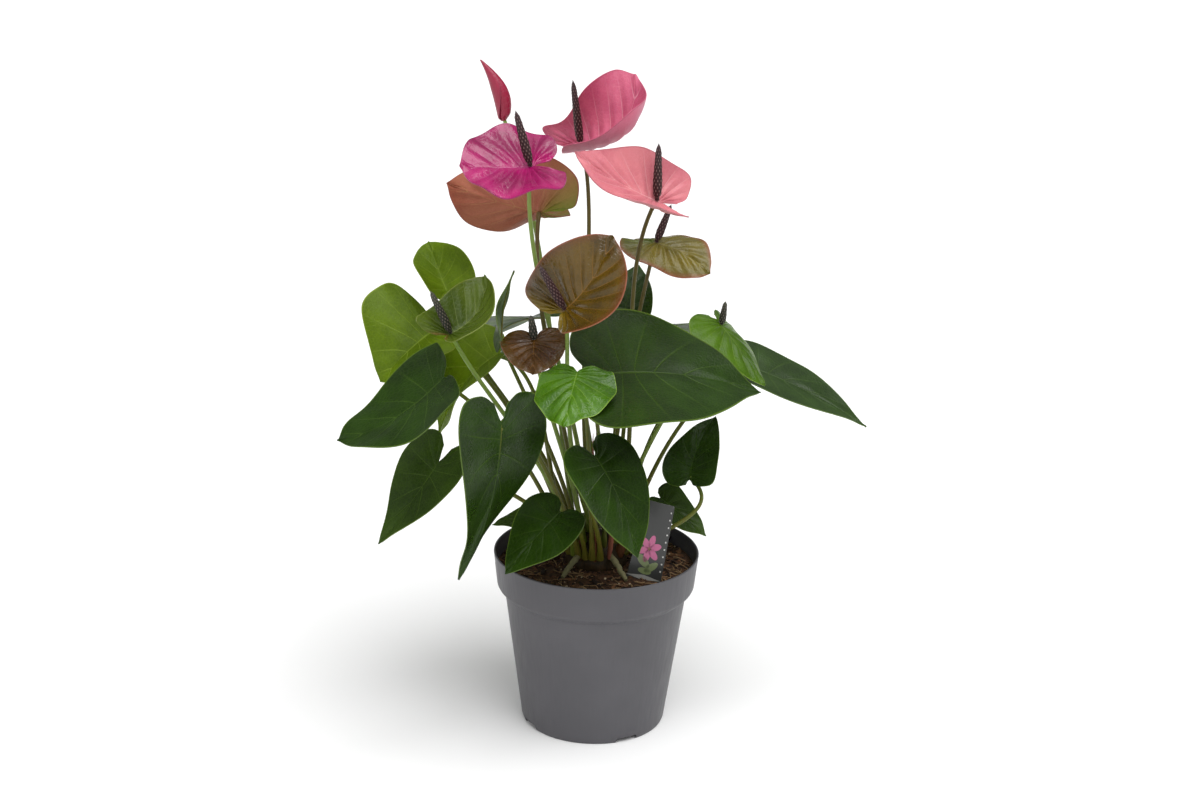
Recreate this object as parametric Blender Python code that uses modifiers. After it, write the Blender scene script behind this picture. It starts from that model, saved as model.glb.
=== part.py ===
"""A potted anthurium: plastic nursery pot, growing medium, crown, leaves, flowers and care label.

Metres, +Z up. The origin is the middle of the pot's underside, on the surface it stands on.
The side that faces -Y is the front. A bearing is measured from +X towards +Y.
"""

import math
from dataclasses import dataclass

import bmesh
import bpy
from mathutils import Matrix, Vector

# Driving dimensions
GAP = 0.0003
POT_HEIGHT = 0.150
RIM_RADIUS = 0.0855
BAND_HEIGHT = 0.030
BAND_TAPER = 0.0030
BAND_STEP = 0.0065
FOOT_RADIUS = 0.0605
FOOT_HEIGHT = 0.005
POT_WALL = 0.0018
FOOT_WIDTH = 0.003
FOOT_CHAMFER = 0.0012
FOOT_RISE = 0.003
FLOOR_CORNER = 0.003
LIP = 0.0006
BAND_SHELF = 0.001
SHELF_ABOVE = 0.003
SHELF_BELOW = 0.002
STEP_RISE = 0.005
DRAFT = 0.0005
BOSS_RADIUS = 0.012
NOTCH_WIDTH = 0.019
NOTCH_BEARING = 29.0 - 90.0
NOTCHES = 4
NOTCH_RISE = 0.0042
NOTCH_DEPTH = 0.024
DRAIN_RADIUS = 0.0045
DRAIN_INSIDE_FOOT = 0.018
MEDIUM_BELOW_RIM = 0.012
MEDIUM_CROWN = 0.003
MEDIUM_EDGE = 0.002
CROWN_RADIUS = 0.027
CROWN_HEIGHT = 0.026
CROWN_DEPTH = 0.010
CROWN_RINGS = (14.0, 38.0, 66.0)
ROOT_RADII = (0.0024, 0.0025, 0.0024, 0.0023, 0.0021, 0.0016)
ROOT_LEAVES = 0.012
ROOTS = (("aerial_root_left", 238.0, 0.024), ("aerial_root_right", 298.0, 0.026))
SHEATH_RADII = (0.0022, 0.0030, 0.0029, 0.0023, 0.0014, 0.0004)
SHEATHS = (
    ("sheath_left", 1, 260.0, 0.085),
    ("sheath_centre", 2, 293.0, 0.060),
    ("sheath_right", 1, 95.0, 0.070),
)
PETIOLE_RADIUS = 0.0016
STALK_RADIUS = 0.0017
LEAF_THICKNESS = 0.0009
LEAF_JOINT = 0.045
SPATHE_JOINT = 0.05
SPATHE_THICKNESS = 0.0010
SPATHE_SEAT = 0.0008
SPADIX_SEAT = 0.0012
SPADIX_SHARES = (0.0, 0.06, 0.3, 0.6, 0.88, 0.97, 1.0)
SPADIX_SWELL = (0.45, 0.85, 1.0, 0.88, 0.66, 0.45, 0.15)
BUD_SHARES = (0.0, 0.08, 0.3, 0.55, 0.8, 1.0)
BUD_RADII = (0.0022, 0.0056, 0.0072, 0.0066, 0.0036, 0.0004)
BUD_BULGE = 0.006
LABEL_WIDTH = 0.030
LABEL_TAPER = 0.24
LABEL_HEIGHT = 0.080
LABEL_THICKNESS = 0.0008
LABEL_BURIED = 0.014
LABEL_INSIDE_RIM = 0.0313
LABEL_BEARING = -48.0
LABEL_CORNER = 0.002

BLADE_ROWS = 7
BLADE_COLUMNS = 3
TUBE_POINTS = 8
POT_STEPS = 48

MEDIUM_LEVEL = POT_HEIGHT - MEDIUM_BELOW_RIM
FLOOR_LEVEL = FOOT_HEIGHT + POT_WALL
BODY_RADIUS = RIM_RADIUS - BAND_TAPER - BAND_STEP


@dataclass
class Blade:
    """One leaf or spathe: where it hangs, how it points and how it is shaped.

    base is where the stem meets the blade, measured from the pot's axis and the medium's level.
    Angles are in degrees. lobe is in lengths and full and blunt shape the margin towards the tip.
    """

    name: str
    base: tuple
    heading: float
    droop: float
    bank: float
    length: float
    width: float
    lobe: float = 0.25
    full: float = 1.0
    blunt: float = 0.0
    folds: tuple = (8.0, 8.0)
    curl: float = 0.0
    arch: float = 0.05
    twist: float = 0.0
    sway: float = 0.0
    colour: tuple = (0.03, 0.09, 0.02)
    ring: int = 2
    bearing: float = 0.0
    bow: tuple = (0.0, 0.0, 0.0)
    spadix: tuple = None
    spadix_size: tuple = (0.040, 0.0032)


DARK_GREEN = (0.018, 0.065, 0.018)
MID_GREEN = (0.040, 0.130, 0.025)
LIGHT_GREEN = (0.120, 0.300, 0.030)

LEAVES = (
    Blade("leaf_right_large", (0.004, -0.054, 0.182), 11, 9, 22, 0.128, 0.146, 0.20, 1.10, 0.1,
          (4, 6), 0, 0.05, 0, 0.02, DARK_GREEN, 1, 318),
    Blade("leaf_far_right", (0.122, 0.074, 0.153), -6, 25, 14, 0.116, 0.078, 0.15, 1.0, 0.1,
          (4, 10), 0, 0.03, 0, 0.02, DARK_GREEN, 2, 20, (0, 0.016, 0.010)),
    Blade("leaf_left_dark", (-0.123, -0.052, 0.176), -170, 31, -18, 0.098, 0.109, 0.08, 0.94, 0.5,
          (12, -1), 0, 0.01, -4, 0.15, DARK_GREEN, 2, 198),
    Blade("leaf_left_low", (-0.129, -0.030, 0.097), -143, 46, -14, 0.082, 0.068, 0.26, 0.90, 0.0,
          (10, 8), 0, 0.00, 6, 0.02, MID_GREEN, 2, 211),
    Blade("leaf_front_drooping", (-0.075, -0.106, 0.158), -183, 76, -108, 0.136, 0.105, 0.15, 0.98, 0.0,
          (-45, 28), 23, 0.05, -26, 0.05, DARK_GREEN, 2, 237),
    Blade("leaf_front_low", (-0.003, -0.085, 0.125), -35, 60, -4, 0.086, 0.091, 0.16, 0.98, 0.1,
          (3, 3), 0, 0.06, 16, 0.0, DARK_GREEN, 2, 277),
    Blade("leaf_over_rim", (-0.030, -0.070, 0.071), -149, 42, -12, 0.065, 0.066, 0.15, 0.99, 0.1,
          (2, 2), 0, 0.03, -10, 0.01, DARK_GREEN, 2, 250),
    Blade("leaf_top_left", (-0.129, 0.056, 0.215), 113, -33, -3, 0.059, 0.060, 0.18, 1.02, 0.4,
          (30, 30), 18, 0.02, -20, 0.01, LIGHT_GREEN, 2, 137, (0, 0.034, 0)),
    Blade("leaf_left_light", (-0.142, 0.060, 0.180), -157, 41, -20, 0.060, 0.126, 0.16, 1.01, 0.2,
          (20, 26), 10, 0.05, -10, 0.0, LIGHT_GREEN, 2, 154),
    Blade("leaf_left_inner", (-0.083, 0.032, 0.172), -162, 53, -5, 0.086, 0.096, 0.15, 1.0, 0.0,
          (20, 18), 8, 0.12, -8, 0.0, LIGHT_GREEN, 2, 170),
    Blade("leaf_left_upright", (-0.081, -0.012, 0.192), 61, -70, -41, 0.060, 0.046, 0.12, 1.0, 0.0,
          (-6, 18), 0, 0.06, -30, 0.0, MID_GREEN, 1, 203),
    Blade("leaf_young_centre", (-0.018, -0.076, 0.190), -101, 34, 2, 0.054, 0.062, 0.16, 1.18, 0.4,
          (-12, -12), 0, 0.02, 10, 0.0, LIGHT_GREEN, 2, 263),
    Blade("leaf_right_small", (0.076, 0.010, 0.072), 69, -29, -8, 0.074, 0.049, 0.13, 1.06, 0.3,
          (19, 15), -11, -0.01, 6, 0.07, DARK_GREEN, 2, 338, (0.030, -0.004, 0)),
    Blade("leaf_behind_label", (0.053, 0.034, 0.046), -20, 34, 14, 0.050, 0.046, 0.14, 1.0, 0.1,
          (6, 7), 0, 0.02, 0, 0.0, MID_GREEN, 2, 358),
    Blade("leaf_behind_centre", (0.018, 0.074, 0.196), 72, -38, 10, 0.052, 0.046, 0.16, 1.0, 0.2,
          (8, 8), 0, 0.05, 0, 0.0, DARK_GREEN, 1, 60),
    Blade("leaf_low_sliver", (-0.052, 0.004, 0.038), -172, 10, -30, 0.036, 0.026, 0.14, 0.9, 0.0,
          (6, 6), 0, 0.04, 0, 0.0, MID_GREEN, 2, 184),
    Blade("leaf_right_hidden", (0.058, 0.094, 0.108), 20, 8, 6, 0.056, 0.044, 0.16, 0.85, 0.0,
          (6, 6), 0, 0.06, 0, 0.02, MID_GREEN, 2, 40),
    Blade("leaf_back_right", (0.036, 0.092, 0.182), 62, 26, 0, 0.094, 0.088, 0.20, 1.0, 0.1,
          (8, 8), 0, 0.06, 0, 0.0, DARK_GREEN, 2, 62),
    Blade("leaf_back_centre", (-0.014, 0.078, 0.120), 100, 34, 0, 0.100, 0.088, 0.20, 1.0, 0.1,
          (8, 8), 0, 0.07, 0, 0.0, DARK_GREEN, 2, 88),
    Blade("leaf_back_left", (-0.048, 0.086, 0.188), 126, 26, 0, 0.096, 0.088, 0.20, 1.0, 0.1,
          (8, 8), 0, 0.06, 0, 0.0, DARK_GREEN, 2, 112, (-0.014, -0.006, 0)),
)

MAGENTA = (0.45, 0.03, 0.22)
PINK = (0.62, 0.13, 0.22)
SALMON = (0.75, 0.27, 0.26)
CRIMSON = (0.27, 0.01, 0.07)
ORANGE_BROWN = (0.32, 0.12, 0.05)
BRONZE = (0.16, 0.09, 0.02)
BROWN = (0.14, 0.06, 0.02)
OLIVE = (0.17, 0.17, 0.04)
GREEN_SPATHE = (0.10, 0.24, 0.03)

FLOWERS = (
    Blade("magenta", (-0.055, -0.036, 0.342), -166, -2, -24, 0.058, 0.086, 0.36, 1.0, 1.0,
          (3, 3), 14, -0.03, -8, 0.0, MAGENTA, 0, 200, (0, 0, 0), (-0.27, -0.15, 1.0), (0.046, 0.0036)),
    Blade("pink", (-0.025, 0.068, 0.337), 9, -51, 22, 0.077, 0.073, 0.12, 1.30, 1.2,
          (-13, 5), 81, -0.11, 25, -0.25, PINK, 0, 100, (-0.025, 0, 0),
          (-0.13, -0.18, 1.0), (0.058, 0.0034)),
    Blade("salmon", (0.044, -0.010, 0.310), -169, -31, -31, 0.081, 0.074, 0.24, 1.07, 0.1,
          (10, 10), 50, -0.03, -24, 0.02, SALMON, 1, 350, (0, 0.030, 0),
          (0.0, -0.02, 1.0), (0.046, 0.0036)),
    Blade("orange", (-0.048, 0.012, 0.295), -180, -16, 48, 0.081, 0.100, 0.26, 0.84, 0.5,
          (10, 14), 39, 0.04, 76, -0.11, ORANGE_BROWN, 1, 142, (0.004, -0.008, 0),
          (-0.2, 0.6, 0.7), (0.034, 0.0030)),
    Blade("bronze", (-0.031, -0.054, 0.231), 9, -58, 24, 0.072, 0.091, 0.14, 1.03, 0.6,
          (11, 10), 16, 0.0, 39, -0.12, BRONZE, 0, 255, (-0.029, -0.012, 0),
          (-0.54, -0.22, 1.0), (0.043, 0.0034)),
    Blade("brown", (-0.053, -0.032, 0.203), -90, 24, 7, 0.043, 0.053, 0.28, 1.0, 0.6,
          (2, 2), 4, 0.02, -12, 0.0, BROWN, 1, 233, (0, 0, 0), (-0.15, 0.0, 1.0), (0.020, 0.0034)),
    Blade("green_left", (-0.119, -0.072, 0.216), 47, -45, 24, 0.057, 0.058, 0.12, 1.09, 0.7,
          (26, 29), 25, -0.08, -15, -0.15, OLIVE, 2, 224, (0.012, 0, 0),
          (-0.42, -0.25, 1.0), (0.040, 0.0032)),
    Blade("olive_right", (0.040, 0.052, 0.263), -27, 20, 3, 0.056, 0.068, 0.37, 0.85, 0.6,
          (1, 1), -20, 0.09, 50, 0.0, OLIVE, 0, 0, (0, 0.024, 0), (0.36, 0.0, 1.0), (0.034, 0.0032)),
    Blade("green_right", (0.096, 0.040, 0.200), -38, 43, -8, 0.066, 0.072, 0.20, 1.02, 0.2,
          (-10, -8), -14, 0.02, 0, 0.0, GREEN_SPATHE, 1, 24, (0, 0, 0),
          (0.12, 0.0, 1.0), (0.020, 0.0028)),
)
BUD = Blade("bud", (-0.083, 0.060, 0.360), 180, -68, 0, 0.052, 0.034, 0.05, 1.0, 0.0,
            (40, 40), 90, 0.03, 0, 0.0, CRIMSON, 1, 172, (0, 0.024, 0))


def clear_scene():
    """Remove every object of the scene."""
    for old in list(bpy.data.objects):
        bpy.data.objects.remove(old, do_unlink=True)


def new_collection(name):
    """Make a collection and link it to the scene."""
    made = bpy.data.collections.new(name)
    bpy.context.scene.collection.children.link(made)
    return made


def material(name, colour, roughness, metallic=0.0):
    """A Principled material of one colour."""
    made = bpy.data.materials.new(name)
    made.use_nodes = True
    shader = made.node_tree.nodes["Principled BSDF"]
    shader.inputs["Base Color"].default_value = (*colour, 1.0)
    shader.inputs["Roughness"].default_value = roughness
    shader.inputs["Metallic"].default_value = metallic
    return made


def add_object(name, data, collection, finish=None):
    """Link data to a collection as a named object."""
    made = bpy.data.objects.new(name, data)
    collection.objects.link(made)
    if finish:
        made.data.materials.append(finish)
    return made


def as_cutter(obj):
    """Mark an object as a helper that the solids leave out."""
    obj.hide_render = True
    obj.display_type = "WIRE"
    return obj


def boolean(obj, other, operation):
    """Add an exact Boolean of obj with other."""
    step = obj.modifiers.new(operation.lower() + "_" + other.name, "BOOLEAN")
    step.operation = operation
    step.object = other
    step.solver = "EXACT"


def turned(name, profile, collection, finish, steps=POT_STEPS):
    """Turn a profile of (radius, height) points about the Z axis.

    The profile starts and ends on the axis and runs down its outer side.
    """
    mesh = bpy.data.meshes.new(name)
    shape = bmesh.new()
    corners = [shape.verts.new((radius, 0.0, height)) for radius, height in profile]
    for first, second in zip(corners, corners[1:]):
        shape.edges.new((first, second))
    shape.to_mesh(mesh)
    shape.free()
    obj = add_object(name, mesh, collection, finish)
    screw = obj.modifiers.new("turn", "SCREW")
    screw.steps = steps
    screw.render_steps = steps
    screw.use_merge_vertices = True
    screw.merge_threshold = 0.00001
    screw.use_smooth_shade = True
    return obj


def box_cutter(name, size, place, turn, collection):
    """A box helper of a size, at a place, turned about Z and then tilted."""
    mesh = bpy.data.meshes.new(name)
    shape = bmesh.new()
    bmesh.ops.create_cube(shape, size=1.0)
    bmesh.ops.scale(shape, vec=size, verts=shape.verts)
    shape.to_mesh(mesh)
    shape.free()
    obj = add_object(name, mesh, collection)
    obj.matrix_world = Matrix.Translation(place) @ turn
    return as_cutter(obj)


def cylinder_cutter(name, radius, depth, place, collection):
    """An upright round helper."""
    mesh = bpy.data.meshes.new(name)
    shape = bmesh.new()
    bmesh.ops.create_cone(shape, cap_ends=True, segments=12, radius1=radius, radius2=radius, depth=depth)
    shape.to_mesh(mesh)
    shape.free()
    obj = add_object(name, mesh, collection)
    obj.location = place
    return as_cutter(obj)


def bezier(points, share):
    """The point at a share of the way along a cubic Bezier curve."""
    a, b, c, d = points
    rest = 1.0 - share
    return a * rest**3 + b * (3 * rest * rest * share) + c * (3 * rest * share * share) + d * share**3


def tube(name, points, radii, collection, finish=None, resolution=1):
    """A capped curve tube through points, with a radius at each."""
    curve = bpy.data.curves.new(name, "CURVE")
    curve.dimensions = "3D"
    curve.bevel_depth = 1.0
    curve.bevel_resolution = resolution
    curve.use_fill_caps = True
    spline = curve.splines.new("POLY")
    spline.points.add(len(points) - 1)
    for spot, place, radius in zip(spline.points, points, radii):
        spot.co = (*place, 1.0)
        spot.radius = radius
    return add_object(name, curve, collection, finish)


def tube_mesh(name, points, radii, collection, resolution=1):
    """The same tube as a closed mesh helper, for joining to a blade."""
    obj = tube(name + "_curve", points, radii, collection, None, resolution)
    graph = bpy.context.evaluated_depsgraph_get()
    mesh = bpy.data.meshes.new_from_object(obj.evaluated_get(graph))
    shape = bmesh.new()
    shape.from_mesh(mesh)
    bmesh.ops.remove_doubles(shape, verts=shape.verts, dist=0.00001)
    bmesh.ops.recalc_face_normals(shape, faces=shape.faces)
    shape.to_mesh(mesh)
    shape.free()
    made = add_object(name, mesh, collection)
    made.matrix_world = obj.matrix_world
    bpy.data.objects.remove(obj, do_unlink=True)
    return as_cutter(made)


def curve_through(points, share):
    """The Catmull-Rom point at a share of the way through flat points."""
    ends = [2 * points[0] - points[1], *points, 2 * points[-1] - points[-2]]
    place = share * (len(points) - 1)
    first = min(int(place), len(points) - 2)
    a, b, c, d = ends[first:first + 4]
    f = place - first
    return 0.5 * (2 * b + (c - a) * f + (2 * a - 5 * b + 4 * c - d) * f * f
                  + (3 * b - a - 3 * c + d) * f**3)


def half_outline(blade, share):
    """A point of the heart-shaped margin, from the notch at the base round to the tip.

    x is in lengths along the midrib and y in half widths away from it.
    """
    lobe, full, blunt = blade.lobe, blade.full, blade.blunt
    points = [(-0.66 * lobe, 0.14), (-lobe, 0.42), (-0.72 * lobe, 0.82), (0.08, 1.0),
              (0.42, (0.84 + 0.12 * blunt) * full), (0.72, (0.44 + 0.34 * blunt) * full),
              (0.90, (0.15 + 0.30 * blunt) * full), (1.0, 0.0)]
    return curve_through([Vector(point) for point in points], share)


def base_of(blade):
    """Where the stem meets the blade."""
    return Vector(blade.base) + Vector((0.0, 0.0, MEDIUM_LEVEL))


def axes_of(blade):
    """The blade's unit vectors: along the midrib, to its left, and out of its upper face."""
    heading, droop, bank = (math.radians(angle) for angle in (blade.heading, blade.droop, blade.bank))
    along = Vector((math.cos(heading), math.sin(heading), 0.0)) * math.cos(droop)
    along.z = -math.sin(droop)
    left = Vector((-math.sin(heading), math.cos(heading), 0.0))
    left = Matrix.Rotation(bank, 3, along) @ left
    return along, left, along.cross(left)


def surface_point(blade, share, across):
    """A point of the blade: share runs along the midrib and across from -1 to 1."""
    along, left, out = axes_of(blade)
    margin = half_outline(blade, share)
    reach = abs(across)
    x = share + (margin.x - share) * reach
    half = blade.width / 2
    flat = margin.y * half * reach
    fold = math.radians(blade.folds[0] if across > 0 else blade.folds[1])
    curl = math.radians(blade.curl) * flat / half
    if abs(curl) < 0.0001:
        sideways, lift = flat * math.cos(fold), flat * math.sin(fold)
    else:
        sideways = flat * (math.sin(fold + curl) - math.sin(fold)) / curl
        lift = flat * (math.cos(fold) - math.cos(fold + curl)) / curl
    sideways = math.copysign(sideways, across)
    turn = math.radians(blade.twist) * x
    sideways, lift = (sideways * math.cos(turn) - lift * math.sin(turn),
                      sideways * math.sin(turn) + lift * math.cos(turn))
    rise = 4 * x * (1 - x) if x > 0 else 4 * x
    lift += blade.length * blade.arch * rise
    sideways += blade.length * blade.sway * rise
    return base_of(blade) + along * (x * blade.length) + left * sideways + out * lift


def blade_object(name, blade, thickness, collection, finish):
    """A blade with even thickness: a grid laid on the blade's surface."""
    mesh = bpy.data.meshes.new(name)
    shape = bmesh.new()
    bmesh.ops.create_grid(shape, x_segments=BLADE_ROWS, y_segments=2 * BLADE_COLUMNS, size=1.0)
    for vert in shape.verts:
        vert.co = surface_point(blade, (vert.co.x + 1) / 2, vert.co.y)
    bmesh.ops.remove_doubles(shape, verts=shape.verts, dist=0.00002)
    for face in shape.faces:
        face.smooth = True
    shape.to_mesh(mesh)
    shape.free()
    obj = add_object(name, mesh, collection, finish)
    wall = obj.modifiers.new("thickness", "SOLIDIFY")
    wall.thickness = thickness
    wall.offset = 0.0
    return obj


def crown_spot(ring, bearing):
    """A point just above the crown's dome, with the direction that it faces."""
    tilt = math.radians(CROWN_RINGS[ring])
    turn = math.radians(bearing)
    out = Vector((math.cos(turn) * math.sin(tilt), math.sin(turn) * math.sin(tilt), math.cos(tilt)))
    level = MEDIUM_LEVEL + MEDIUM_CROWN
    place = Vector((out.x * CROWN_RADIUS, out.y * CROWN_RADIUS, level + out.z * CROWN_HEIGHT))
    return place, out


def stem_points(blade, end, arrive):
    """Points of a stem from its spot on the crown to its end, arriving along a direction."""
    spot, out = crown_spot(blade.ring, blade.bearing)
    start = spot + out * (PETIOLE_RADIUS * 0.6 + 2 * GAP)
    span = (end - start).length
    leave = (out * 0.45 + Vector((0, 0, 1))).normalized()
    bow = Vector(blade.bow)
    handles = (start, start + leave * span * 0.36 + bow, end - arrive * span * 0.30 + bow, end)
    return [bezier(handles, step / (TUBE_POINTS - 1)) for step in range(TUBE_POINTS)]


def make_pot(parts, helpers):
    """The nursery pot: rim band, tapered wall, foot ring with notches, and drain holes."""
    band_foot = POT_HEIGHT - BAND_HEIGHT
    inner = POT_WALL
    profile = [
        (0.0, FLOOR_LEVEL),
        (FOOT_RADIUS - 2.2 * inner, FLOOR_LEVEL),
        (FOOT_RADIUS - 0.6 * inner, FLOOR_LEVEL + FLOOR_CORNER),
        (BODY_RADIUS - inner, band_foot - SHELF_BELOW),
        (RIM_RADIUS - BAND_TAPER - inner, band_foot + SHELF_ABOVE),
        (RIM_RADIUS - inner, POT_HEIGHT - LIP),
        (RIM_RADIUS - 0.6 * inner, POT_HEIGHT),
        (RIM_RADIUS - 0.3 * inner, POT_HEIGHT),
        (RIM_RADIUS, POT_HEIGHT - LIP),
        (RIM_RADIUS - BAND_TAPER, band_foot + SHELF_BELOW),
        (RIM_RADIUS - BAND_TAPER - BAND_SHELF, band_foot),
        (BODY_RADIUS, band_foot - STEP_RISE),
        (FOOT_RADIUS, FOOT_RISE),
        (FOOT_RADIUS - FOOT_CHAMFER, 0.0),
        (FOOT_RADIUS - FOOT_WIDTH, 0.0),
        (FOOT_RADIUS - FOOT_WIDTH - DRAFT, FOOT_HEIGHT),
        (BOSS_RADIUS + DRAFT, FOOT_HEIGHT),
        (BOSS_RADIUS, 0.0),
        (0.0, 0.0),
    ]
    pot = turned("pot", profile, parts, material("pot_plastic", (0.065, 0.068, 0.075), 0.45))
    for count in range(NOTCHES):
        turn = math.radians(NOTCH_BEARING + count * 360.0 / NOTCHES)
        out = Vector((math.cos(turn), math.sin(turn), 0.0))
        notch = box_cutter(f"notch_{count + 1}", (NOTCH_DEPTH, NOTCH_WIDTH, 2 * NOTCH_RISE),
                           out * FOOT_RADIUS, Matrix.Rotation(turn, 4, "Z"), helpers)
        boolean(pot, notch, "DIFFERENCE")
        spot = out * (FOOT_RADIUS - DRAIN_INSIDE_FOOT) + Vector((0, 0, FLOOR_LEVEL))
        drain = cylinder_cutter(f"drain_{count + 1}", DRAIN_RADIUS, 3 * FLOOR_LEVEL, spot, helpers)
        boolean(pot, drain, "DIFFERENCE")
    return pot


def label_matrix():
    """Where the care label stands, leaning back with its foot in the medium."""
    reach = RIM_RADIUS - LABEL_INSIDE_RIM
    turn = math.radians(LABEL_BEARING)
    place = Matrix.Translation((reach * math.cos(turn), reach * math.sin(turn),
                                MEDIUM_LEVEL + MEDIUM_CROWN * 0.5 - LABEL_BURIED))
    return (place @ Matrix.Rotation(math.radians(-8), 4, "Z") @ Matrix.Rotation(math.radians(10), 4, "Y")
            @ Matrix.Rotation(math.radians(-10), 4, "X") @ Matrix.Translation((0, 0, LABEL_HEIGHT / 2)))


def make_label(parts):
    """The plastic care label, a flat tag with small rounded corners that narrows upwards."""
    mesh = bpy.data.meshes.new("care_label")
    shape = bmesh.new()
    bmesh.ops.create_cube(shape, size=1.0)
    bmesh.ops.scale(shape, vec=(LABEL_WIDTH, LABEL_THICKNESS, LABEL_HEIGHT), verts=shape.verts)
    across = [edge for edge in shape.edges
              if abs((edge.verts[0].co - edge.verts[1].co).normalized().y) > 0.9]
    bmesh.ops.bevel(shape, geom=across, offset=LABEL_CORNER, segments=2, profile=0.5, affect="EDGES")
    for vert in shape.verts:
        vert.co.x *= 1 - LABEL_TAPER * (vert.co.z / LABEL_HEIGHT + 0.5)
    shape.to_mesh(mesh)
    shape.free()
    obj = add_object("care_label", mesh, parts, material("label_card", (0.05, 0.05, 0.055), 0.35))
    obj.matrix_world = label_matrix()
    return obj


def make_medium(parts, helpers):
    """The growing medium that fills the pot, with a hollow for the crown and a slit for the label."""
    wall = POT_WALL + GAP
    band_foot = POT_HEIGHT - BAND_HEIGHT
    band_rise = BAND_HEIGHT - SHELF_ABOVE
    at_level = (MEDIUM_LEVEL - band_foot - SHELF_ABOVE) / band_rise
    top_radius = RIM_RADIUS - BAND_TAPER * (1 - at_level) - wall
    hollow = CROWN_RADIUS + GAP
    floor = MEDIUM_LEVEL + MEDIUM_CROWN - CROWN_DEPTH - GAP
    profile = [
        (0.0, floor),
        (hollow * 0.8, floor),
        (hollow, MEDIUM_LEVEL + MEDIUM_CROWN),
        (0.6 * top_radius, MEDIUM_LEVEL + MEDIUM_CROWN),
        (top_radius - MEDIUM_EDGE, MEDIUM_LEVEL),
        (top_radius, MEDIUM_LEVEL - MEDIUM_EDGE),
        (RIM_RADIUS - BAND_TAPER - wall, band_foot + SHELF_ABOVE + GAP),
        (BODY_RADIUS - wall, band_foot - SHELF_BELOW + GAP),
        (FOOT_RADIUS - 0.6 * POT_WALL - GAP, FLOOR_LEVEL + FLOOR_CORNER + 2 * GAP),
        (FOOT_RADIUS - 2.2 * POT_WALL - GAP, FLOOR_LEVEL + GAP),
        (0.0, FLOOR_LEVEL + GAP),
    ]
    medium = turned("growing_medium", profile, parts, material("bark_medium", (0.05, 0.028, 0.015), 0.9))
    size = [side + 2 * GAP for side in (LABEL_WIDTH, LABEL_THICKNESS, LABEL_HEIGHT)]
    slit = box_cutter("label_slit", size, (0, 0, 0), Matrix.Identity(4), helpers)
    slit.matrix_world = label_matrix()
    boolean(medium, slit, "DIFFERENCE")
    return medium


def make_crown(parts):
    """The crown: the short thick stem that every leaf and flower rises from."""
    level = MEDIUM_LEVEL + MEDIUM_CROWN
    profile = [(0.0, level + CROWN_HEIGHT)]
    for tilt in (20, 40, 60, 78, 90):
        angle = math.radians(tilt)
        profile.append((CROWN_RADIUS * math.sin(angle), level + CROWN_HEIGHT * math.cos(angle)))
    profile += [(CROWN_RADIUS * 0.80 - GAP, level - CROWN_DEPTH), (0.0, level - CROWN_DEPTH)]
    return turned("crown", profile, parts, material("crown_stem", (0.10, 0.11, 0.03), 0.6), 24)


def make_roots(parts):
    """Two aerial roots that leave the crown's side and run down to the medium."""
    finish = material("root_skin", (0.16, 0.15, 0.07), 0.7)
    level = MEDIUM_LEVEL + MEDIUM_CROWN
    stations = len(ROOT_RADII)
    for name, bearing, reach in ROOTS:
        turn = math.radians(bearing)
        out = Vector((math.cos(turn), math.sin(turn), 0.0))
        start = out * (CROWN_RADIUS + ROOT_RADII[0] + 2 * GAP) + Vector((0, 0, level + ROOT_LEAVES))
        end = out * (CROWN_RADIUS + reach) + Vector((0, 0, level + ROOT_RADII[1]))
        bend = out * reach / 3
        handles = (start, start + bend, end - bend + Vector((0, 0, ROOT_LEAVES / 3)), end)
        points = [bezier(handles, step / (stations - 1)) for step in range(stations)]
        tube(name, points, ROOT_RADII, parts, finish)


def make_sheaths(parts):
    """The papery red-brown sheaths that stand on the crown beside young stems."""
    finish = material("sheath_skin", (0.22, 0.07, 0.03), 0.6)
    stations = len(SHEATH_RADII)
    for name, ring, bearing, height in SHEATHS:
        spot, out = crown_spot(ring, bearing)
        start = spot + out * (SHEATH_RADII[0] + 2 * GAP)
        points = [start + (out * 0.2 + Vector((0, 0, 1))) * (height * step / (stations - 1))
                  for step in range(stations)]
        tube(name, points, SHEATH_RADII, parts, finish)


def make_leaf(blade, parts, helpers):
    """One leaf: its blade and its petiole grown together."""
    along, _, out = axes_of(blade)
    finish = material(blade.name + "_green", blade.colour, 0.35)
    obj = blade_object(blade.name, blade, LEAF_THICKNESS, parts, finish)
    end = surface_point(blade, LEAF_JOINT, 0.0) - out * LEAF_THICKNESS / 3
    arrive = (along * 0.5 + out * 0.5 + Vector((0, 0, 0.3))).normalized()
    points = stem_points(blade, end, arrive)
    radii = [PETIOLE_RADIUS * (1.25 - 0.3 * step / (TUBE_POINTS - 1)) for step in range(TUBE_POINTS)]
    boolean(obj, tube_mesh(blade.name + "_petiole", points, radii, helpers), "UNION")
    return obj


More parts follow.
